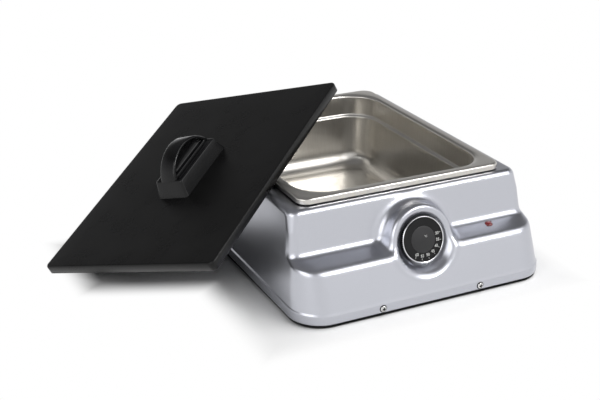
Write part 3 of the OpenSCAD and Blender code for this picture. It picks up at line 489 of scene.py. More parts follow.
@dataclass
class Shape:
    """Points and faces of a piece, in millimetres."""

    points: np.ndarray
    faces: Faces

    def moved(self, matrix: Matrix) -> "Shape":
        """The shape in another frame."""
        return Shape(mapped(self.points, matrix), self.faces)

    def joined(self, *others: "Shape") -> "Shape":
        """This shape and others as one."""
        points, faces = [self.points], list(self.faces)
        start = len(self.points)
        for other in others:
            points.append(other.points)
            faces += [tuple(i + start for i in f) for f in other.faces]
            start += len(other.points)
        return Shape(np.vstack(points), faces)

    def without(self, drop: np.ndarray) -> "Shape":
        """The shape without the faces that a mask names."""
        return Shape(self.points, [f for f, gone in zip(self.faces, drop) if not gone])

    def middles(self) -> np.ndarray:
        """Middle of each face."""
        return np.array([self.points[list(f)].mean(axis=0) for f in self.faces])


def loft(rings: Sequence[np.ndarray], first: bool = False, last: bool = False, around: bool = False) -> Shape:
    """Join outlines of equal count.

    Args:
        rings: Outlines with three coordinates a point.
        first: Whether the first outline is closed with a face.
        last: Whether the last one is.
        around: Whether the last outline joins the first.

    Returns:
        The lofted shape.
    """
    count = len(rings[0])
    faces: Faces = []
    for i in range(len(rings) if around else len(rings) - 1):
        a, b = i * count, ((i + 1) % len(rings)) * count
        faces += [(a + j, a + (j + 1) % count, b + (j + 1) % count, b + j) for j in range(count)]
    if first:
        faces.append(tuple(reversed(range(count))))
    if last:
        start = (len(rings) - 1) * count
        faces.append(tuple(range(start, start + count)))
    return Shape(np.vstack(rings), faces)


def revolve(path: Sequence[Pair], steps: int, around: bool = False) -> Shape:
    """Turn a profile of radius and height round the third axis.

    Args:
        path: Profile, from the lower end to the upper one.
        steps: Segments of a turn.
        around: Whether the profile is a closed loop.

    Returns:
        The turned shape.
    """
    turn = np.linspace(0, 2 * math.pi, steps, endpoint=False)
    ring = np.stack([np.cos(turn), np.sin(turn)], axis=1)
    rings = [np.column_stack([ring * max(r, 1e-4), np.full(steps, w)]) for r, w in path]
    return loft(rings, not around and path[0][0] <= 0, not around and path[-1][0] <= 0, around)


def lifted(ring: np.ndarray, z: float) -> np.ndarray:
    """A flat outline at a height."""
    return np.column_stack([ring, np.full(len(ring), z)])


def linked(name: str, data: Any) -> bpy.types.Object:
    """A new object in the scene."""
    made = bpy.data.objects.new(name, data)
    bpy.context.scene.collection.objects.link(made)
    return made


def aimed(name: str, data: Any, place: Point, aim: Point) -> bpy.types.Object:
    """A new lamp or camera that looks at a point."""
    made = linked(name, data)
    made.location = place
    made.rotation_euler = (Vector(aim) - Vector(place)).to_track_quat("-Z", "Y").to_euler()
    return made


def evaluated(made: bpy.types.Object) -> bpy.types.Mesh:
    """A plain mesh of an object, as its modifiers leave it."""
    bpy.context.view_layer.update()
    graph = bpy.context.evaluated_depsgraph_get()
    return bpy.data.meshes.new_from_object(made.evaluated_get(graph))


class Workshop:
    """Turns shapes into named pieces of the frame."""

    flat_angle = math.radians(0.6)
    bevel_angle = math.radians(32.0)

    def __init__(self) -> None:
        """Start with no pieces."""
        self.made: List[str] = []

    def mesh(self, name: str, shape: Shape) -> bpy.types.Object:
        """A mesh object in metres, with its doubles merged and its faces outward."""
        data = bpy.data.meshes.new(name)
        data.from_pydata((shape.points * MM).tolist(), [], shape.faces)
        made = linked(name, data)
        work = bmesh.new()
        work.from_mesh(data)
        bmesh.ops.remove_doubles(work, verts=work.verts, dist=DOUBLES)
        bmesh.ops.recalc_face_normals(work, faces=work.faces)
        work.to_mesh(data)
        work.free()
        return made

    def settle(self, made: bpy.types.Object) -> None:
        """Apply a piece's modifiers to its mesh."""
        data = evaluated(made)
        made.modifiers.clear()
        old, made.data = made.data, data
        bpy.data.meshes.remove(old)

    def wall(self, made: bpy.types.Object, thick: float) -> None:
        """Give a skin a wall on its inner side."""
        mod = made.modifiers.new("wall", "SOLIDIFY")
        mod.thickness = thick * MM
        mod.offset = -1.0
        self.settle(made)

    def finish(
        self,
        made: bpy.types.Object,
        body: Body,
        finish: Finish,
        stands_for: Sequence[str] = (),
        sharp: float = 38.0,
    ) -> None:
        """Dress a piece and set it on its body.

        Args:
            made: The piece, in place.
            body: What it moves with.
            finish: Its finish.
            stands_for: Solids that it shows in their place.
            sharp: Angle above which an edge stays sharp, in degrees.
        """
        made.data.materials.clear()
        made.data.materials.append(finish.material())
        made.data.shade_smooth()
        made.data.set_sharp_from_angle(angle=math.radians(sharp))
        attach(made, body.value)
        if stands_for:
            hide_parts(*stands_for)
        self.made.append(made.name)
        LOG.info("%s: %d faces on %s", made.name, len(made.data.polygons), body.value)

    def dress(self, finish: Finish, *nodes: str) -> None:
        """Give solids that stay their finish."""
        for name in nodes:
            node = frame["nodes"][name]
            for place in node.material_slots:
                place.material = finish.material()
            if not node.material_slots:
                node.data.materials.append(finish.material())
            LOG.info("%s: solid kept, %s", name, finish.slot)

    def softened(self, node: str, body: Body, finish: Finish, width: float) -> None:
        """Show a solid's own form with its edges rounded.

        Args:
            node: The solid.
            body: What it moves with.
            finish: Its finish.
            width: Width of the rounded edges.
        """
        made = linked(node + "_form", frame["nodes"][node].data.copy())
        work = bmesh.new()
        work.from_mesh(made.data)
        bmesh.ops.remove_doubles(work, verts=work.verts, dist=2 * DOUBLES)
        bmesh.ops.dissolve_limit(work, angle_limit=self.flat_angle, verts=work.verts, edges=work.edges)
        work.to_mesh(made.data)
        work.free()
        mod = made.modifiers.new("soften", "BEVEL")
        mod.width = width * MM
        mod.segments = 2
        mod.limit_method = "ANGLE"
        mod.angle_limit = self.bevel_angle
        self.settle(made)
        self.finish(made, body, finish, [node])


class Layout:
    """Geometry Nodes tree that sets one form out and gives it a finish."""

    def __init__(self, name: str, kinds: Dict[str, str]) -> None:
        """Make the tree with its named inputs.

        Args:
            name: The tree's name.
            kinds: Inputs beside the points, the form and the finish, with their kinds.
        """
        self.tree = bpy.data.node_groups.new(name, "GeometryNodeTree")
        face = self.tree.interface
        face.new_socket("Geometry", in_out="INPUT", socket_type="NodeSocketGeometry")
        self.keys = {
            key: face.new_socket(key, in_out="INPUT", socket_type="NodeSocket" + kind).identifier
            for key, kind in {"Form": "Object", **kinds, "Finish": "Material"}.items()
        }
        face.new_socket("Geometry", in_out="OUTPUT", socket_type="NodeSocketGeometry")
        self.n = Nodes(self.tree)
        self.group = self.n.node("NodeGroupInput")

    def given(self, name: str) -> Sock:
        """One of the tree's inputs."""
        return self.n.out(self.group, name)

    def instances(self, points: Sock, turn: Sock, more: Optional[Dict[str, Sock]] = None) -> Sock:
        """The form at each point, as plain geometry.

        Args:
            points: Where it goes.
            turn: How it is turned there.
            more: Other inputs of the instances.

        Returns:
            The realized instances.
        """
        n = self.n
        form = n.node("GeometryNodeObjectInfo", {}, {"Object": self.given("Form"), "As Instance": True})
        spots = n.node("GeometryNodeInstanceOnPoints", {}, {
            "Points": points, "Instance": n.out(form, "Geometry"), "Rotation": turn, **(more or {})})
        return n.out(n.node("GeometryNodeRealizeInstances", {}, {"Geometry": n.out(spots)}))

    def close(self, shape: Sock) -> None:
        """Give the geometry its finish and lead it out."""
        n = self.n
        coat = n.node("GeometryNodeSetMaterial", {}, {"Geometry": shape, "Material": self.given("Finish")})
        n.node("NodeGroupOutput", {}, {"Geometry": n.out(coat)})

    def run(
        self,
        shop: Workshop,
        made: bpy.types.Object,
        form: Shape,
        values: Dict[str, Any],
        body: Body,
        finish: Finish,
        stands_for: Sequence[str] = (),
    ) -> None:
        """Run the tree on an object and make one plain mesh of it.

        Args:
            shop: Maker of pieces.
            made: The piece, with its points if the tree takes any.
            form: Form to repeat.
            values: Values of the other inputs.
            body: What the piece moves with.
            finish: Its finish.
            stands_for: Solids that it shows in their place.
        """
        pattern = shop.mesh("form", form)
        mod = made.modifiers.new("set_out", "NODES")
        mod.node_group = self.tree
        for key, value in {"Form": pattern, **values, "Finish": finish.material()}.items():
            mod[self.keys[key]] = value
        shop.settle(made)
        bpy.data.objects.remove(pattern)
        shop.finish(made, body, finish, stands_for)


class SetOut(Layout):
    """Sets a form out on points, each along its own axis."""

    def __init__(self) -> None:
        """Build the tree."""
        super().__init__("set_out_on_points", {"Size": "Float"})
        n = self.n
        axis = n.node("GeometryNodeInputNamedAttribute", {"data_type": "FLOAT_VECTOR"}, {"Name": "axis"})
        turn = n.node("FunctionNodeAlignRotationToVector", {"axis": "Z"}, {"Vector": n.out(axis)})
        self.close(self.instances(self.given("Geometry"), n.out(turn), {"Scale": self.given("Size")}))

    def lay(
        self,
        shop: Workshop,
        name: str,
        form: Shape,
        spots: Sequence[Tuple[Point, Point]],
        size: float,
        finish: Finish,
        stands_for: Sequence[str] = (),
    ) -> None:
        """Set a form out on the tank.

        Args:
            shop: Maker of pieces.
            name: The piece's name.
            form: Form to repeat, one millimetre to the unit of size.
            spots: Place and axis of each.
            size: Scale of the form.
            finish: The piece's finish.
            stands_for: Solids that it shows in their place.
        """
        data = bpy.data.meshes.new(name)
        data.from_pydata([tuple(v * MM for v in p) for p, _ in spots], [], [])
        axis = data.attributes.new("axis", "FLOAT_VECTOR", "POINT")
        axis.data.foreach_set("vector", [v for _, a in spots for v in a])
        self.run(shop, linked(name, data), form, {"Size": size}, Body.TANK, finish, stands_for)


class RoundSet(Layout):
    """Sets a form out round an axis, in equal steps."""

    def __init__(self) -> None:
        """Build the tree."""
        super().__init__("set_out_round_axis", {
            "Count": "Int", "Start": "Float", "Step": "Float", "Radius": "Float", "Height": "Float",
            "Place": "Vector", "Turn": "Rotation"})
        n, given = self.n, self.given
        angle = n.out(n.node("GeometryNodeInputIndex")) * given("Step") + given("Start")
        spot = n.node("ShaderNodeCombineXYZ", {}, {
            0: n.math("COSINE", angle) * given("Radius"),
            1: n.math("SINE", angle) * given("Radius"),
            2: given("Height"),
        })
        dots = n.node("GeometryNodePoints", {}, {"Count": given("Count"), "Position": n.out(spot)})
        turned = n.node("FunctionNodeAxisAngleToRotation", {}, {"Axis": (0.0, 0.0, 1.0), "Angle": angle})
        put = n.node("GeometryNodeTransform", {}, {
            "Geometry": self.instances(n.out(dots), n.out(turned)),
            "Translation": given("Place"),
            "Rotation": given("Turn"),
        })
        self.close(n.out(put))

    def lay(
        self,
        shop: Workshop,
        name: str,
        form: Shape,
        at: Matrix,
        steps: Tuple[int, float, float],
        spot: Pair,
        finish: Finish,
    ) -> None:
        """Set a form out round the dial's axis.

        Args:
            shop: Maker of pieces.
            name: The piece's name.
            form: Form to repeat.
            at: Frame of the axis, in millimetres.
            steps: How many, the first one's angle and the step between them.
            spot: Distance from the axis and height along it.
            finish: The piece's finish.
        """
        values: Dict[str, Any] = dict(zip(("Count", "Start", "Step"), steps))
        values.update(Radius=spot[0] * MM, Height=spot[1] * MM, Place=[v * MM for v in at.translation],
                      Turn=list(at.to_euler()))
        self.run(shop, linked(name, bpy.data.meshes.new(name)), form, values, Body.DIAL, finish)


def frame_of(origin: Point, u: Point, v: Point, w: Point) -> Matrix:
    """The frame with these axes at an origin."""
    return Matrix([(u[i], v[i], w[i], origin[i]) for i in range(3)] + [(0, 0, 0, 1)])


class PlaneField:
    """Signed distance to a flat polygon, read from a grid."""

    gap = 1.0

    def __init__(self, corners: np.ndarray, low: Pair, high: Pair) -> None:
        """Measure the distance at each point of the grid.

        Args:
            corners: Corners of the polygon.
            low: Lowest corner of the grid.
            high: Highest corner of the grid.
        """
        self.low = np.array(low)
        xs, ys = (np.arange(low[i], high[i] + self.gap, self.gap) for i in range(2))
        grid = np.stack(np.meshgrid(xs, ys, indexing="ij"), axis=-1)
        nearest = np.full(grid.shape[:2], np.inf)
        inside = np.zeros(grid.shape[:2], bool)
        for a, b in zip(corners, np.roll(corners, -1, axis=0)):
            along = b - a
            t = np.clip(((grid - a) @ along) / max(along @ along, TINY), 0, 1)
            nearest = np.minimum(nearest, np.linalg.norm(grid - a - t[..., None] * along, axis=-1))
            crosses = (a[1] > grid[..., 1]) != (b[1] > grid[..., 1])
            rise = along[1] if abs(along[1]) > TINY else TINY
            inside ^= crosses & (grid[..., 0] < a[0] + along[0] * (grid[..., 1] - a[1]) / rise)
        self.values = np.where(inside, -nearest, nearest)

    def __call__(self, x: np.ndarray, y: np.ndarray) -> np.ndarray:
        """Distance at points, between the grid's."""
        n, m = self.values.shape
        fx = np.clip((x - self.low[0]) / self.gap, 0, n - 1.001)
        fy = np.clip((y - self.low[1]) / self.gap, 0, m - 1.001)
        i, j = fx.astype(int), fy.astype(int)
        u, v = fx - i, fy - j
        g = self.values
        return (g[i, j] * (1 - u) * (1 - v) + g[i + 1, j] * u * (1 - v)
                + g[i, j + 1] * (1 - u) * v + g[i + 1, j + 1] * u * v)


def soft_least(a: np.ndarray, b: np.ndarray, k: float) -> np.ndarray:
    """The lesser of two fields, with a fillet of about k where they meet."""
    h = np.maximum(k - np.abs(a - b), 0) / k
    return np.minimum(a, b) - h * h * k / 4


FLANGE_FRONT = -231.03
FLANGE_BACK = 182.76
BOSS_TILT = math.radians(16)
BOSS = frame_of((0, -194, 66.5), (1, 0, 0), (0, math.sin(BOSS_TILT), math.cos(BOSS_TILT)),
                (0, -math.cos(BOSS_TILT), math.sin(BOSS_TILT)))
STEP_TILT = math.radians(12.2)
LAMP = frame_of((98, -191.8, 62.54), (1, 0, 0), (0, math.cos(STEP_TILT), math.sin(STEP_TILT)),
                (0, -math.sin(STEP_TILT), math.cos(STEP_TILT)))
LID = frame_of((-371.29, 34, -0.98529), (0.49349, -0.823718, 0.279207), (0.741492, 0.566237, 0.359951),
               (-0.454595, 0.0293974, 0.890213))
INLET_Z = 44.0
INLET = frame_of((0, 178.36, INLET_Z), (1, 0, 0), (0, 0.11425, -0.99345), (0, 0.99345, 0.11425))


@dataclass
class HousingSkin:
    """Moulded housing: leaning front, stepped shelf, dished boss round the dial, soft shoulder and flange."""

    top_z: float = 116.7
    top_half: float = 149.5
    top_back: float = 170.0
    draft: float = 0.115
    shoulder: float = 6.0
    edge_z: float = 3.5
    flange_z: float = 15.0
    flange_blend: float = 1.2
    flange_half: float = 162.26
    wall: float = 2.2
    mouth: Point = (124.8, 154.8, 44.0)
    mouth_edge: Tuple[Pair, ...] = ((0.9, 0.0), (0.25, -0.3), (0.0, -0.95), (0.0, -3.0))
    profile: Tuple[Point, ...] = (
        (-230.6, 4.2, 0), (FLANGE_FRONT, 5.2, 0), (FLANGE_FRONT, 14.0, 3.0), (-229.53, 17.2, 4.0),
        (-213.0, 59.6, 11.5), (-182.5, 67.2, 10.5), (-170.0, 116.7, 8.0), (-150.0, 116.7, 0),
    )
    profile_steps: int = 8
    row_gap: float = 1.05
    front_corners: Tuple[Pair, ...] = ((-231.0, 38.0), (-212.8, 29.0), (-175.8, 10.0), (-170.0, 13.0))
    back_corners: Pair = (38.0, 13.0)
    least_corner: float = 4.0
    cone: Tuple[Pair, ...] = (
        (31.0, 12.4), (34.5, 12.4), (36.6, 12.0), (38.4, 10.9), (39.7, 9.3), (40.6, 7.2), (41.3, 3.0),
        (46.0, -36.0), (49.0, -60.0),
    )
    dish: Tuple[Point, ...] = (
        (0, 4.6, 0), (27.8, 4.6, 7.0), (38.0, 18.0, 0), (42.0, 26.0, 0), (46.0, 60, 0), (0, 60, 0),
    )
    dish_at: Pair = (0.8, -2.0)
    boss_fillet: float = 13.0
    dish_fillet: float = 5.0
    front_grid: Tuple[Pair, Pair] = ((-300, -50), (-100, 190))
    boss_grid: Tuple[Pair, Pair] = ((-110, -70), (110, 110))
    inner_y: float = -60.0
    under_z: float = -60.0
    look: float = math.radians(20)
    march_from: float = 70.0
    march_to: float = -60.0
    march_steps: int = 140
    march_share: float = 0.7
    still_rows: int = 9
    slot: float = 22.0 / 128.8
    dial_hole: float = 6.0
    lamp_hole: float = 4.4
    hole_depth: float = 4.0
    inlet_hole: Pair = (13.0, 9.5)

    def front_path(self) -> np.ndarray:
        """Front profile from the lower edge to the shoulder's end, rounded and finely split."""
        path = rounded_path(self.profile, self.profile_steps)
        end = int(np.argmax(path[:, 1] > self.top_z - 1e-6))
        return split_path(path[: end + 1], self.row_gap)

    def fields(self) -> Callable[[np.ndarray], np.ndarray]:
        """Distance to the front with its boss and dish.

        Returns:
            A function of points.
        """
        path = rounded_path(self.profile, self.profile_steps)
        behind = [(self.inner_y, self.top_z), (self.inner_y, self.under_z)]
        base = PlaneField(np.vstack([[(FLANGE_FRONT, self.under_z)], path, behind]), *self.front_grid)
        right = np.array(self.cone)
        cone = PlaneField(np.vstack([right, right[::-1] * (-1, 1)]), *self.boss_grid)
        hollow = rounded_path(self.dish, 6)[1:-1]
        dish = PlaneField(np.vstack([hollow, (hollow * (-1, 1))[::-1]]), *self.boss_grid)
        inverse = BOSS.inverted()

        def field(p: np.ndarray) -> np.ndarray:
            """Distance at points."""
            q = mapped(p, inverse)
            r = np.hypot(q[..., 0], q[..., 1])
            whole = soft_least(base(p[..., 1], p[..., 2]), cone(r, q[..., 2]), self.boss_fillet)
            r = np.hypot(q[..., 0] - self.dish_at[0], q[..., 1] - self.dish_at[1])
            return -soft_least(-whole, dish(r, q[..., 2]), self.dish_fillet)

        return field

    def carried(self, p: np.ndarray) -> np.ndarray:
        """Points of the front, carried along the look direction onto the boss.

        Args:
            p: Points of the plain front.

        Returns:
            Points on the finished front.
        """
        field = self.fields()
        ray = np.array([0.0, -math.cos(self.look), math.sin(self.look)])
        far = np.full(p.shape[:-1], self.march_from)
        for _ in range(self.march_steps):
            far = np.maximum(far - self.march_share * field(p + far[..., None] * ray), self.march_to)
        return p + far[..., None] * ray

    def skin(self) -> Shape:
        """Outer skin, ring by ring from the lower edge to the mouth."""
        fine = np.linspace(-0.5, 0.5, 131)
        front = (*np.linspace(-1, -0.5, 9)[:-1], *fine, *np.linspace(0.5, 1, 9)[1:])
        slot = self.slot
        back = (*np.linspace(-1, -slot, 5), -slot / 2, 0.0, slot / 2, *np.linspace(slot, 1, 5))
        outline = Outline(front, back, 8, 12)
        rings = []
        for y, z in self.front_path():
            up = max(z - self.top_z + self.shoulder, 0)
            inset = self.shoulder - math.sqrt(max(self.shoulder ** 2 - up ** 2, 0))
            lean = self.draft * (self.top_z - z)
            half, rear = self.top_half + lean, self.top_back + lean
            flange_top = self.flange_z + self.flange_blend
            if z < flange_top:
                out = min(1.0, (flange_top - z) / self.flange_blend)
                half += (self.flange_half - half) * out
                rear += (FLANGE_BACK - rear) * out
            r0 = float(np.interp(y, *zip(*self.front_corners)))
            r1 = float(np.interp(z, (self.edge_z, self.top_z), self.back_corners))
            r0, r1 = max(r0 - inset, self.least_corner), r1 - inset
            rings.append(lifted(outline.ring(half - inset, y, rear - inset, r0, r1), z))
        rows = np.array(rings)
        part = (slice(1, -self.still_rows), slice(0, len(front)))
        rows[part] = self.carried(rows[part])
        mx, my, mr = self.mouth
        edge = [lifted(outline.even(mx + e, my + e, mr), self.top_z + d) for e, d in self.mouth_edge]
        return loft(list(rows) + edge)

    def build(self, shop: Workshop) -> None:
        """Make the housing, with the holes behind dial, lamp and inlet."""
        skin = self.skin()
        mid = skin.middles()
        drop = np.zeros(len(skin.faces), bool)
        for at, reach in ((BOSS, self.dial_hole), (LAMP, self.lamp_hole)):
            q = mapped(mid, at.inverted())
            drop |= (np.hypot(q[:, 0], q[:, 1]) < reach) & (np.abs(q[:, 2]) < self.hole_depth)
        wide, high = self.inlet_hole
        slot = (np.abs(mid[:, 0]) < wide) & (np.abs(mid[:, 2] - INLET_Z) < high)
        drop |= slot & (mid[:, 1] > self.top_back)
        made = shop.mesh("housing_skin", skin.without(drop))
        shop.wall(made, self.wall)
        shop.finish(made, Body.TANK, SILVER, ["housing"], sharp=60)


@dataclass
class PanSheet:
    """Drawn steel pan with a turned-down lip and a shouldered wall."""

    half: Pair = (132.5, 162.5)
    rim_r: float = 14.0
    rim_z: float = 125.0
    lip: float = 6.6
    flange: float = 12.0
    flange_start: float = 2.0
    open_r: float = 42.0
    sheet: float = 0.8
    shoulder_z: float = 96.0
    step: float = 3.5
    draft: float = 3.0
    bends: Point = (2.6, 3.6, 2.4)
    floor_r: float = 22.0
    floor_end: float = 70.0
    bottom_z: float = 25.0
    row_gap: float = 6.0
    least_corner: float = 6.0

    def build(self, shop: Workshop) -> None:
        """Make the sheet along its profile, from the lip to the middle of the floor."""
        floor = self.bottom_z + self.sheet
        rim, mouth, shoulder = self.bends
        inner = self.flange + self.step
        path = rounded_path([
            (0.0, self.rim_z - self.lip, 0), (0.0, self.rim_z, rim), (self.flange, self.rim_z, mouth),
            (self.flange + 0.3, self.shoulder_z + 1.5, shoulder), (inner, self.shoulder_z - 1.2, shoulder),
            (inner + self.draft, floor, self.floor_r), (self.floor_end, floor, 0),
        ], 8)
        outline = even_outline(9, 10, 14)
        rings = []
        for e, z in split_path(path, self.row_gap):
            grow = np.clip((e - self.flange_start) / (self.flange - self.flange_start), 0, 1)
            past = max(e - self.flange, 0)
            r = self.rim_r + (self.open_r - self.rim_r) * grow * grow * (3 - 2 * grow) - past
            r = max(r, self.least_corner)
            rings.append(lifted(outline.even(self.half[0] - e, self.half[1] - e, r), z))
        made = shop.mesh("pan_sheet", loft(rings, last=True))
        if self.faces_down(made):
            made.data.flip_normals()
        shop.wall(made, self.sheet)
        shop.finish(made, Body.PAN, STEEL, ["pan"], sharp=50)

    def faces_down(self, made: bpy.types.Object) -> bool:
        """Whether the pan's floor looks down, so that the wall would grow inwards."""
        return min(made.data.polygons, key=lambda p: p.center.z).normal.z < 0


@dataclass
class LidSet:
    """Lid that leans on the tank: a hollow black panel with its handle."""

    size: Point = (264.0, 324.0, 11.0)
    corner: float = 7.0
    least_corner: float = 1.5
    plate: float = 3.0
    skirt: float = 2.5
    middle: float = 30.0
    handle_at: Point = (132.0, 162.0, 11.0)
    plinth: Point = (46.0, 95.0, 20.0)
    plinth_corner: float = 3.2
    plinth_rows: Tuple[Pair, ...] = (
        (0.0, 0.0), (0.03, 0.0), (0.9, 0.0), (0.955, 0.25), (0.99, 1.0), (1.0, 2.0), (1.0, 3.4), (0.972, 3.8),
        (0.972, 4.9), (1.0, 5.3), (1.0, 9.0),
    )
    taper: Pair = (5.0, 14.0)
    grip_l: float = 81.0
    grip_h: float = 24.0
    grip_t: float = 23.0
    grip_sunk: float = 0.6
    band: float = 4.5

    def ring(self, inset: float, z: float) -> np.ndarray:
        """Outline of the panel, drawn in by inset."""
        w, l, _ = self.size
        r = max(self.corner - inset, self.least_corner)
        flat = even_outline(7, 6, 7).ring(w / 2 - inset, inset - l / 2, l / 2 - inset, r, r)
        return lifted(flat + (w / 2, l / 2), z)

    def panel(self) -> Shape:
        """Hollow panel with rounded top edges and a slightly crowned border."""
        h, s = self.size[2], self.skirt
        under = h - self.plate
        rows = [(self.middle, under), (s + 1.2, under), (s, under - 1.2), (s, 0.35), (s - 0.35, 0.0),
                (0.5, 0.0), (0.0, 0.5), (0.0, h - 2.2), (0.25, h - 1.2), (0.9, h - 0.4), (1.9, h - 0.05),
                (3.0, h), (self.middle, h)]
        return loft([self.ring(e, z) for e, z in rows], True, True)

    def plinth_shape(self) -> Shape:
        """Tapered plinth of the handle, with a line sunk round its top."""
        w, l, h = self.plinth
        tw, tl = self.taper
        outline = even_outline(5, 8, 6)
        rings = []
        for k, inset in self.plinth_rows:
            r = max(self.plinth_corner - inset * 0.4, 1.0)
            rings.append(lifted(outline.even((w - tw * k) / 2 - inset, (l - tl * k) / 2 - inset, r), k * h))
        return loft(rings, True, True)

    def grip_shape(self) -> Shape:
        """Half-round grip with a raised band round a sunk web."""
        h0 = self.plinth[2] - self.grip_sunk
        radius = (self.grip_l ** 2 / 4 + self.grip_h ** 2) / (2 * self.grip_h)
        middle = self.plinth[2] + self.grip_h - radius
        t, band = self.grip_t / 2, self.band

        def outline(inset: float, low: float, w: float) -> np.ndarray:
            """The half round drawn in by inset, at a place across the grip."""
            r = radius - inset
            start = math.asin(np.clip((low - middle) / r, -1, 1))
            turn = np.linspace(start, math.pi - start, 49)
            arc = [(w, r * math.cos(a), middle + r * math.sin(a)) for a in turn]
            ends = np.linspace(arc[-1][1], arc[0][1], 25)[1:-1]
            return np.array(arc + [(w, y, low) for y in ends])

        half = [(0.0, h0, 0.0), (0.0, h0, t - 2.4), (0.35, h0, t - 1.2), (1.1, h0, t - 0.35), (2.1, h0, t),
                (band - 0.9, h0 + 2.6, t), (band - 0.25, h0 + 3.2, t - 0.3), (band, h0 + 3.5, t - 1.0),
                (band + 0.5, h0 + 3.8, t - band + 0.8), (band + 1.4, h0 + 4.6, t - band)]
        rings = [outline(e, low, -w) for e, low, w in reversed(half)]
        rings += [outline(e, low, w) for e, low, w in half[1:]]
        return loft(rings, True, True)

    def build(self, shop: Workshop) -> None:
        """Make the panel and the handle."""
        panel = shop.mesh("lid_panel_form", self.panel().moved(LID))
        shop.finish(panel, Body.LID, LID_BLACK, ["lid_panel"], sharp=50)
        at = LID @ Matrix.Translation(self.handle_at)
        handle = shop.mesh("lid_handle_form", self.plinth_shape().joined(self.grip_shape()).moved(at))
        shop.finish(handle, Body.LID, GLOSS, ["lid_handle"], sharp=50)


@dataclass
class DialSet:
    """Turning dial: ribbed knob, printed disc, bright ring, ticks and figures."""

    face: float = 13.0
    gap: float = 6.5
    rim: float = 1.0
    disc_r: float = 24.2
    disc_sunk: float = 0.8
    middle_r: float = 15.4
    middle_sunk: float = 0.6
    ribs: int = 72
    rib_r: float = 0.42
    rib_at: Pair = (25.95, 0.8)
    tick_half: Pair = (0.9, 0.22)
    tick_r: float = 22.7
    tick_sunk: float = 0.02
    figures: Tuple[str, ...] = ("30", "35", "40", "45", "50", "55", "60")
    first_figure: float = 12.5
    figure_step: float = -22.5
    figure_r: float = 18.9
    figure_size: float = 4.6
    figure_bold: float = 0.06
    unit_at: Pair = (3.6, 3.0)
    unit_size: float = 3.2
    print_up: float = 0.05

    def build(self, shop: Workshop, rounds: RoundSet) -> None:
        """Make the dial's pieces."""
        f, g, lip = self.face, self.gap, self.face - self.rim
        knob = [(0, g), (25.0, g), (25.7, g + 0.3), (26.0, g + 1.0), (26.0, lip - 0.4), (25.7, lip - 0.1),
                (25.1, lip - 0.05), (25.0, f - 1.65), (0, f - 1.65)]
        disc_top, middle_top = f - self.disc_sunk, f - self.middle_sunk
        disc = [(0, f - 1.6), (24.0, f - 1.6), (self.disc_r, f - 1.4), (self.disc_r, f - 1.0),
                (24.0, disc_top), (0, disc_top)]
        middle = [(0, f - 0.9), (self.middle_r, f - 0.9), (self.middle_r, f - 0.7),
                  (self.middle_r - 0.3, middle_top), (0, middle_top)]
        ring = [(25.3, lip + 0.05), (26.5, lip + 0.05), (26.7, lip + 0.2), (26.7, f - 0.5), (26.45, f - 0.2),
                (26.05, f), (25.65, f - 0.15), (25.3, f - 0.6)]
        for name, shape, finish, nodes in (
            ("dial_knob_form", revolve(knob, 96), GLOSS, ["dial_knob"]),
            ("dial_disc_form", revolve(disc, 96), GLOSS, ["dial_disc"]),
            ("dial_middle", revolve(middle, 96), MATTE, []),
            ("dial_trim_ring_form", revolve(ring, 128, True), TRIM, ["dial_trim_ring"]),
        ):
            shop.finish(shop.mesh(name, shape.moved(BOSS)), Body.DIAL, finish, nodes)
        self.lay_ribs(shop, rounds)
        self.lay_ticks(shop, rounds)
        self.print_figures(shop)

    def lay_ribs(self, shop: Workshop, rounds: RoundSet) -> None:
        """Set the grip's ribs out round the knob."""
        long = self.face - self.rim - self.gap - 1.2
        path = [(0, 0), (self.rib_r, 0.3), (self.rib_r, long - 0.3), (0, long)]
        steps = (self.ribs, 0.0, 2 * math.pi / self.ribs)
        r, up = self.rib_at
        rounds.lay(shop, "dial_ribs", revolve(path, 8), BOSS, steps, (r, self.gap + up), TRIM)

    def lay_ticks(self, shop: Workshop, rounds: RoundSet) -> None:
        """Set the scale's ticks out beside the figures."""
        x, y = self.tick_half
        flat = np.array([(-x, -y), (x, -y), (x, y), (-x, y)])
        slab = loft([lifted(flat, -self.tick_sunk), lifted(flat, self.print_up)], True, True)
        steps = (len(self.figures), math.radians(self.first_figure), math.radians(self.figure_step))
        rounds.lay(shop, "dial_ticks", slab, BOSS, steps, (self.tick_r, self.face - self.disc_sunk), PRINT)

    def figure(self, words: str, size: float, at: Point) -> Shape:
        """Flat figures as a shape, centred on a place of the dial.

        Args:
            words: What they say.
            size: Their height.
            at: The place, in the dial's frame.

        Returns:
            The shape.
        """
        curve = bpy.data.curves.new("figure", "FONT")
        curve.body, curve.size = words, size
        curve.align_x, curve.align_y = "CENTER", "CENTER"
        curve.extrude, curve.offset = self.print_up, self.figure_bold
        made = linked("figure", curve)
        data = evaluated(made)
        points = np.array([v.co for v in data.vertices], float)
        shape = Shape(points, [tuple(p.vertices) for p in data.polygons])
        bpy.data.objects.remove(made)
        bpy.data.meshes.remove(data)
        return shape.moved(BOSS @ Matrix.Translation(at))

    def print_figures(self, shop: Workshop) -> None:
        """Print the figures and the unit mark on the disc."""
        r, top = self.figure_r, self.face - self.disc_sunk
        shapes = []
        for i, words in enumerate(self.figures):
            a = math.radians(self.first_figure + i * self.figure_step)
            shapes.append(self.figure(words, self.figure_size, (r * math.cos(a), r * math.sin(a), top)))
        shapes.append(self.figure("°C", self.unit_size, (*self.unit_at, self.face - self.middle_sunk)))
        made = shop.mesh("dial_figures", shapes[0].joined(*shapes[1:]))
        shop.finish(made, Body.DIAL, PRINT)


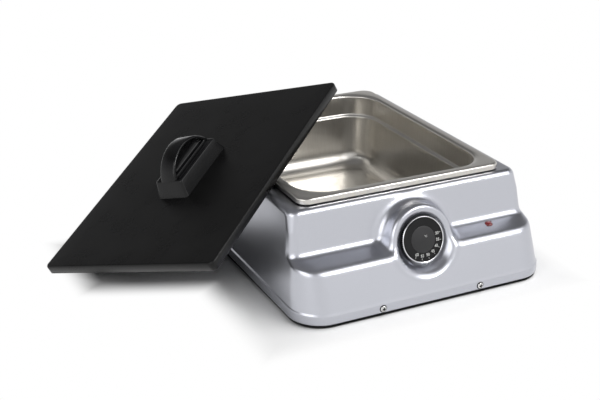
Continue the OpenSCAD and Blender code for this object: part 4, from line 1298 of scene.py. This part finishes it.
@dataclass
class SmallParts:
    """Screws, feet, lamp, inlet and everything under the pan."""

    screw_r: float = 3.7
    # Radius of the dark rubber ring under each flange screw, painted shadow round the head.
    shadow_ring_r: float = 4.45
    inlet_screw_r: float = 2.7
    inlet_screw_at: Pair = (20.0, 3.0)
    flange_x: float = 64.0
    flange_z: float = 9.25
    foot: Point = (125.26, -194.03, 145.76)
    head: Tuple[Pair, ...] = (
        (1.0, -0.06), (1.0, 0.16), (0.96, 0.30), (0.86, 0.42), (0.72, 0.50), (0.58, 0.55), (0.5, 0.57),
        (0.42, 0.585), (0.34, 0.595), (0.26, 0.6), (0.19, 0.605), (0.12, 0.607),
    )
    cross_half: float = 0.17
    cross_reach: float = 0.56
    cross_core: float = 0.33
    cross_floor: float = 0.05
    # Profile of the dark ring that paints the shadow round each flange screw head, one millimetre to the
    # unit.
    shadow_ring: Tuple[Pair, ...] = ((0, -0.02), (1.0, -0.02), (1.0, 0.06), (0.96, 0.09), (0, 0.09))
    lens: Tuple[Pair, ...] = ((0, 0.0), (4.9, 0.0), (5.0, 0.15), (5.0, 2.1), (4.85, 2.3), (4.5, 2.4))
    dome: Point = (4.5, 2.4, 1.75)
    dome_top: float = 4.15
    foot_path: Tuple[Pair, ...] = (
        (0, 2.6), (3.6, 2.6), (4.4, 2.2), (4.9, 0.5), (5.6, 0.0), (9.6, 0.0), (10.6, 0.4), (11.0, 1.4),
        (11.9, 5.4), (11.9, 6.0), (0, 6.0),
    )

    def screw_head(self) -> Shape:
        """Domed head with a cross recess, one millimetre in radius and looking up."""
        turn = np.linspace(0, 2 * math.pi, 48, endpoint=False)
        rings = []
        for r, z in self.head:
            x, y = r * np.cos(turn), r * np.sin(turn)
            arms = (np.minimum(np.abs(x), np.abs(y)) < self.cross_half) & (r < self.cross_reach)
            cross = arms | (r < self.cross_core)
            rings.append(np.column_stack([x, y, np.where(cross, self.cross_floor, z)]))
        return loft(rings, True, True)

    def set_screws(self, shop: Workshop, layer: SetOut) -> None:
        """Set the screws out on the flange, each over a dark rubber ring that stands in as painted shadow
        round its head, and the screws on the inlet.
        """
        head = self.screw_head()
        x, z = self.flange_x, self.flange_z
        flange = [((s * x, FLANGE_FRONT, z), (0, -1, 0)) for s in (-1, 1)]
        flange += [((s * x, FLANGE_BACK, z), (0, 1, 0)) for s in (-1, 1)]
        layer.lay(shop, "flange_screw_heads", head, flange, self.screw_r, PLATED, ["flange_screws"])
        # Dark rubber rings under the flange screw heads: painted shadow round each head.
        layer.lay(shop, "flange_washers", revolve(self.shadow_ring, 48), flange, self.shadow_ring_r, RUBBER)
        aside, up = self.inlet_screw_at
        axis = tuple(INLET.to_3x3() @ Vector((0, 0, 1)))
        inlet = [(tuple(INLET @ Vector((s * aside, 0.0, up))), axis) for s in (-1, 1)]
        layer.lay(shop, "inlet_screw_heads", head, inlet, self.inlet_screw_r, PLATED)

    def lamp(self, shop: Workshop) -> None:
        """Domed lens of the pilot lamp."""
        r, z, h = self.dome
        dome = [(r * math.cos(a), z + h * math.sin(a)) for a in np.linspace(0.12, math.pi / 2, 10)[:-1]]
        path = [*self.lens, *dome, (0, self.dome_top)]
        made = shop.mesh("pilot_lamp_dome", revolve(path, 48).moved(LAMP))
        shop.finish(made, Body.TANK, LENS, ["pilot_lamp_lens"])

    def feet(self, shop: Workshop, layer: SetOut) -> None:
        """Rounded rubber feet, sunk in the middle round their screws."""
        form = revolve(self.foot_path, 48)
        x, y0, y1 = self.foot
        spots = [((s * x, y, 0.0), (0, 0, 1)) for s in (-1, 1) for y in (y0, y1)]
        layer.lay(shop, "rubber_feet_form", form, spots, 1.0, RUBBER, ["rubber_feet"])

    def build(self, shop: Workshop, layer: SetOut) -> None:
        """Make the small pieces and dress the solids that stay."""
        self.set_screws(shop, layer)
        self.lamp(shop)
        self.feet(shop, layer)
        for node, finish, width in SOFTENED:
            shop.softened(node, Body.TANK, finish, width)
        for finish, nodes in KEPT_SOLIDS:
            shop.dress(finish, *nodes)


@dataclass(frozen=True)
class Lamp:
    """A soft lamp: it lights dull surfaces, or shiny ones mirror it as a card, or both."""

    name: str
    place: Point
    aim: Point
    size: Pair
    power: float
    lit: bool
    mirrored: bool

    def hang(self) -> None:
        """Put the lamp in the scene."""
        data = bpy.data.lights.new(self.name, "AREA")
        data.shape = "RECTANGLE"
        data.size, data.size_y = self.size
        data.energy = self.power
        made = aimed(self.name, data, self.place, self.aim)
        made.visible_glossy = self.mirrored
        made.visible_diffuse = self.lit


LAMPS = (
    Lamp("top_softbox", (0.8, -0.5, 1.7), (0.0, -0.15, 0.0), (1.8, 1.4), 36.0, True, False),
    Lamp("front_card", (0.95, -1.14, 1.72), (0.05, -0.19, 0.06), (2.2, 0.85), 12.0, False, True),
    Lamp("front_strip", (0.95, -1.52, 1.45), (0.0, 0.0, 0.05), (0.9, 0.26), 14.0, False, True),
    Lamp("left_softbox", (-1.55, -0.85, 1.2), (0.0, -0.1, 0.1), (1.4, 1.2), 10.0, True, True),
)
ROOM = (
    (0.0, (1.0, 1.0, 1.0)), (0.25, (0.92, 0.92, 0.93)), (0.55, (0.45, 0.45, 0.46)),
    (0.72, (0.13, 0.13, 0.13)), (0.82, (0.14, 0.14, 0.14)), (1.0, (0.22, 0.22, 0.23)),
)


@dataclass
class Studio:
    """Pale floor with painted shadow under the tank, white background, soft lamps and the camera. Its sizes
    are in metres.
    """

    eye: Point = (-0.6123, -1.1550, 0.5956)
    aim: Point = (-0.05464, 0.0, 0.04930)
    lens: float = 66.0
    sensor: float = 36.0
    floor_half: float = 30.0
    floor_tone: float = 0.92
    floor_lift: float = 0.14
    lift_span: Pair = (0.0, 0.03)
    shade_at: Point = (-0.105, -0.060, 0.0)
    shade_half: Point = (0.235, 0.165, 0.0)
    tank_at: Point = (-0.012, -0.024, 0.0)
    tank_half: Point = (0.200, 0.2295, 0.0)
    # The tank's rounded foot, inside which the floor carries painted shadow.
    foot_at: Point = (0.0, -0.02414, 0.0)
    foot_half: Point = (0.16226, 0.2069, 0.038)
    foot_r: float = 0.038
    # Painted shadow under the tank: its tone, and the depth inside the foot over which the floor darkens to
    # it.
    painted_shadow_tone: float = 0.1
    painted_shadow_span: Pair = (-0.0005, -0.003)
    mouth_at: Point = (-0.268, -0.060, 0.0)
    mouth_way: Pair = (0.39, 0.92)
    fade: Pair = (-0.022, 0.022)
    room_tone: float = 0.07
    back_drop: float = 0.4
    back_glow: float = 0.4
    glow_tone: float = 0.9
    glow_x: Pair = (0.15, 0.35)
    glow_y: Pair = (0.5, 0.78)
    glow_z: Pair = (0.38, 0.50)

    def past(self, n: Nodes, coords: Sock, at: Point, half: Sequence[float]) -> Sock:
        """How far a floor point lies past a rectangle's sides, along each axis.

        Args:
            n: Node tree of the floor's paint.
            coords: Object coordinates.
            at: Middle of the rectangle.
            half: Half its sides.

        Returns:
            Distances in metres as a vector, less than zero inside.
        """
        return n.vector("SUBTRACT", n.vector("ABSOLUTE", n.vector("SUBTRACT", coords, at)), half)

    def beyond(self, n: Nodes, coords: Sock, at: Point, half: Point) -> Sock:
        """The greater of a floor point's two distances past a rectangle's sides."""
        rest = n.node("ShaderNodeSeparateXYZ", {}, {0: self.past(n, coords, at, half)})
        return n.math("MAXIMUM", n.out(rest, 0), n.out(rest, 1))

    def foot_edge(self, n: Nodes, coords: Sock) -> Sock:
        """How far a floor point lies outside the tank's rounded foot, which is the edge of the painted
        shadow.

        Args:
            n: Node tree of the floor's paint.
            coords: Object coordinates.

        Returns:
            Distance in metres, less than zero inside.
        """
        core = tuple(h - self.foot_r for h in self.foot_half)
        out = n.vector("MAXIMUM", self.past(n, coords, self.foot_at, core), (0.0, 0.0, 0.0))
        long = n.node("ShaderNodeVectorMath", {"operation": "LENGTH"}, {0: out})
        return n.out(long, "Value") - self.foot_r

    def floor(self) -> None:
        """A wide pale floor that keeps the cast shadow, with painted shadow under the tank's foot."""
        s = self.floor_half
        data = bpy.data.meshes.new("floor")
        data.from_pydata([(-s, -s, 0), (s, -s, 0), (s, s, 0), (-s, s, 0)], [], [(0, 1, 2, 3)])
        made = linked("floor", data)
        paint = bpy.data.materials.new("floor_paper")
        n = fresh_nodes(paint)
        coords = n.out(n.node("ShaderNodeTexCoord"), "Object")
        # Painted shadow: the paper turns dark just inside the tank's rounded foot, so the gap under the
        # flange reads as a dark line.
        under = n.span(self.foot_edge(n, coords), *self.painted_shadow_span)
        tone = n.mix(under, (self.floor_tone,) * 3, (self.painted_shadow_tone,) * 3)
        paper = n.node("ShaderNodeBsdfDiffuse", {}, {"Color": tone})
        split = n.node("ShaderNodeSeparateXYZ", {}, {0: n.vector("SUBTRACT", coords, self.mouth_at)})
        outside = n.out(split, 0) * -self.mouth_way[0] + n.out(split, 1) * -self.mouth_way[1]
        lid_side = n.math("MAXIMUM", self.beyond(n, coords, self.shade_at, self.shade_half), outside)
        away = n.math("MINIMUM", lid_side, self.beyond(n, coords, self.tank_at, self.tank_half))
        ray = n.node("ShaderNodeLightPath")
        seen = n.math("MAXIMUM", n.out(ray, "Is Camera Ray"), n.out(ray, "Is Glossy Ray"))
        seen = n.math("MAXIMUM", seen, n.out(ray, "Is Transmission Ray"))
        lift = n.span(away, *self.lift_span, 0.0, self.floor_lift)
        glow = n.node("ShaderNodeEmission", {}, {"Color": (1, 1, 1), "Strength": seen * lift})
        near = n.node("ShaderNodeAddShader", {}, {0: n.out(paper), 1: n.out(glow)})
        white = n.node("ShaderNodeEmission", {}, {"Color": (1, 1, 1), "Strength": 1.0})
        far = n.span(away, *self.fade) * seen
        both = n.node("ShaderNodeMixShader", {}, {0: far, 1: n.out(near), 2: n.out(white)})
        n.node("ShaderNodeOutputMaterial", {}, {"Surface": n.out(both)})
        data.materials.append(paint)

    def sky(self) -> None:
        """White to the camera, and a room with a dark upper wall to the metal."""
        world = bpy.data.worlds.new("studio")
        bpy.context.scene.world = world
        n = fresh_nodes(world)
        way = n.node("ShaderNodeTexCoord")
        parts = n.node("ShaderNodeSeparateXYZ", {}, {0: n.out(way, "Generated")})
        x, y, z = (n.out(parts, i) for i in range(3))
        room = n.node("ShaderNodeValToRGB", {"stops": ROOM}, {0: z + y * self.back_drop})
        ray = n.node("ShaderNodeLightPath")
        seen = n.math("MAXIMUM", n.out(ray, "Is Glossy Ray"), n.out(ray, "Is Transmission Ray"))
        low_back = n.span(y, *self.glow_y) * (1.0 - n.span(z, *self.glow_z)) * n.span(x, *self.glow_x)
        tone = n.mix(low_back * self.back_glow, n.out(room), (self.glow_tone,) * 3)
        tone = n.mix(seen, (self.room_tone,) * 3, tone)
        tone = n.mix(n.out(ray, "Is Camera Ray"), tone, (1.0, 1.0, 1.0))
        back = n.node("ShaderNodeBackground", {}, {"Color": tone, "Strength": 1.0})
        n.node("ShaderNodeOutputWorld", {}, {"Surface": n.out(back)})

    def build(self) -> None:
        """Set up floor, background, lamps and camera."""
        scene = bpy.context.scene
        scene.view_settings.view_transform = "Standard"
        self.floor()
        self.sky()
        for lamp in LAMPS:
            lamp.hang()
        data = bpy.data.cameras.new("camera")
        data.lens = self.lens
        data.sensor_width = self.sensor
        scene.camera = aimed("camera", data, self.eye, self.aim)


def clear_start() -> None:
    """Remove what a new file holds apart from the frame."""
    kept = set(frame["nodes"].values()) | set(frame["bodies"].values())
    for other in [o for o in bpy.data.objects if o not in kept]:
        bpy.data.objects.remove(other)


def main() -> None:
    """Build the tank, sub-assembly by sub-assembly."""
    logging.basicConfig(level=logging.INFO, format="%(name)s: %(message)s")
    clear_start()
    shop = Workshop()
    layer, rounds = SetOut(), RoundSet()
    Studio().build()
    HousingSkin().build(shop)
    PanSheet().build(shop)
    LidSet().build(shop)
    DialSet().build(shop, rounds)
    SmallParts().build(shop, layer)
    LOG.info("%d pieces made", len(shop.made))


if __name__ == "__main__":
    main()
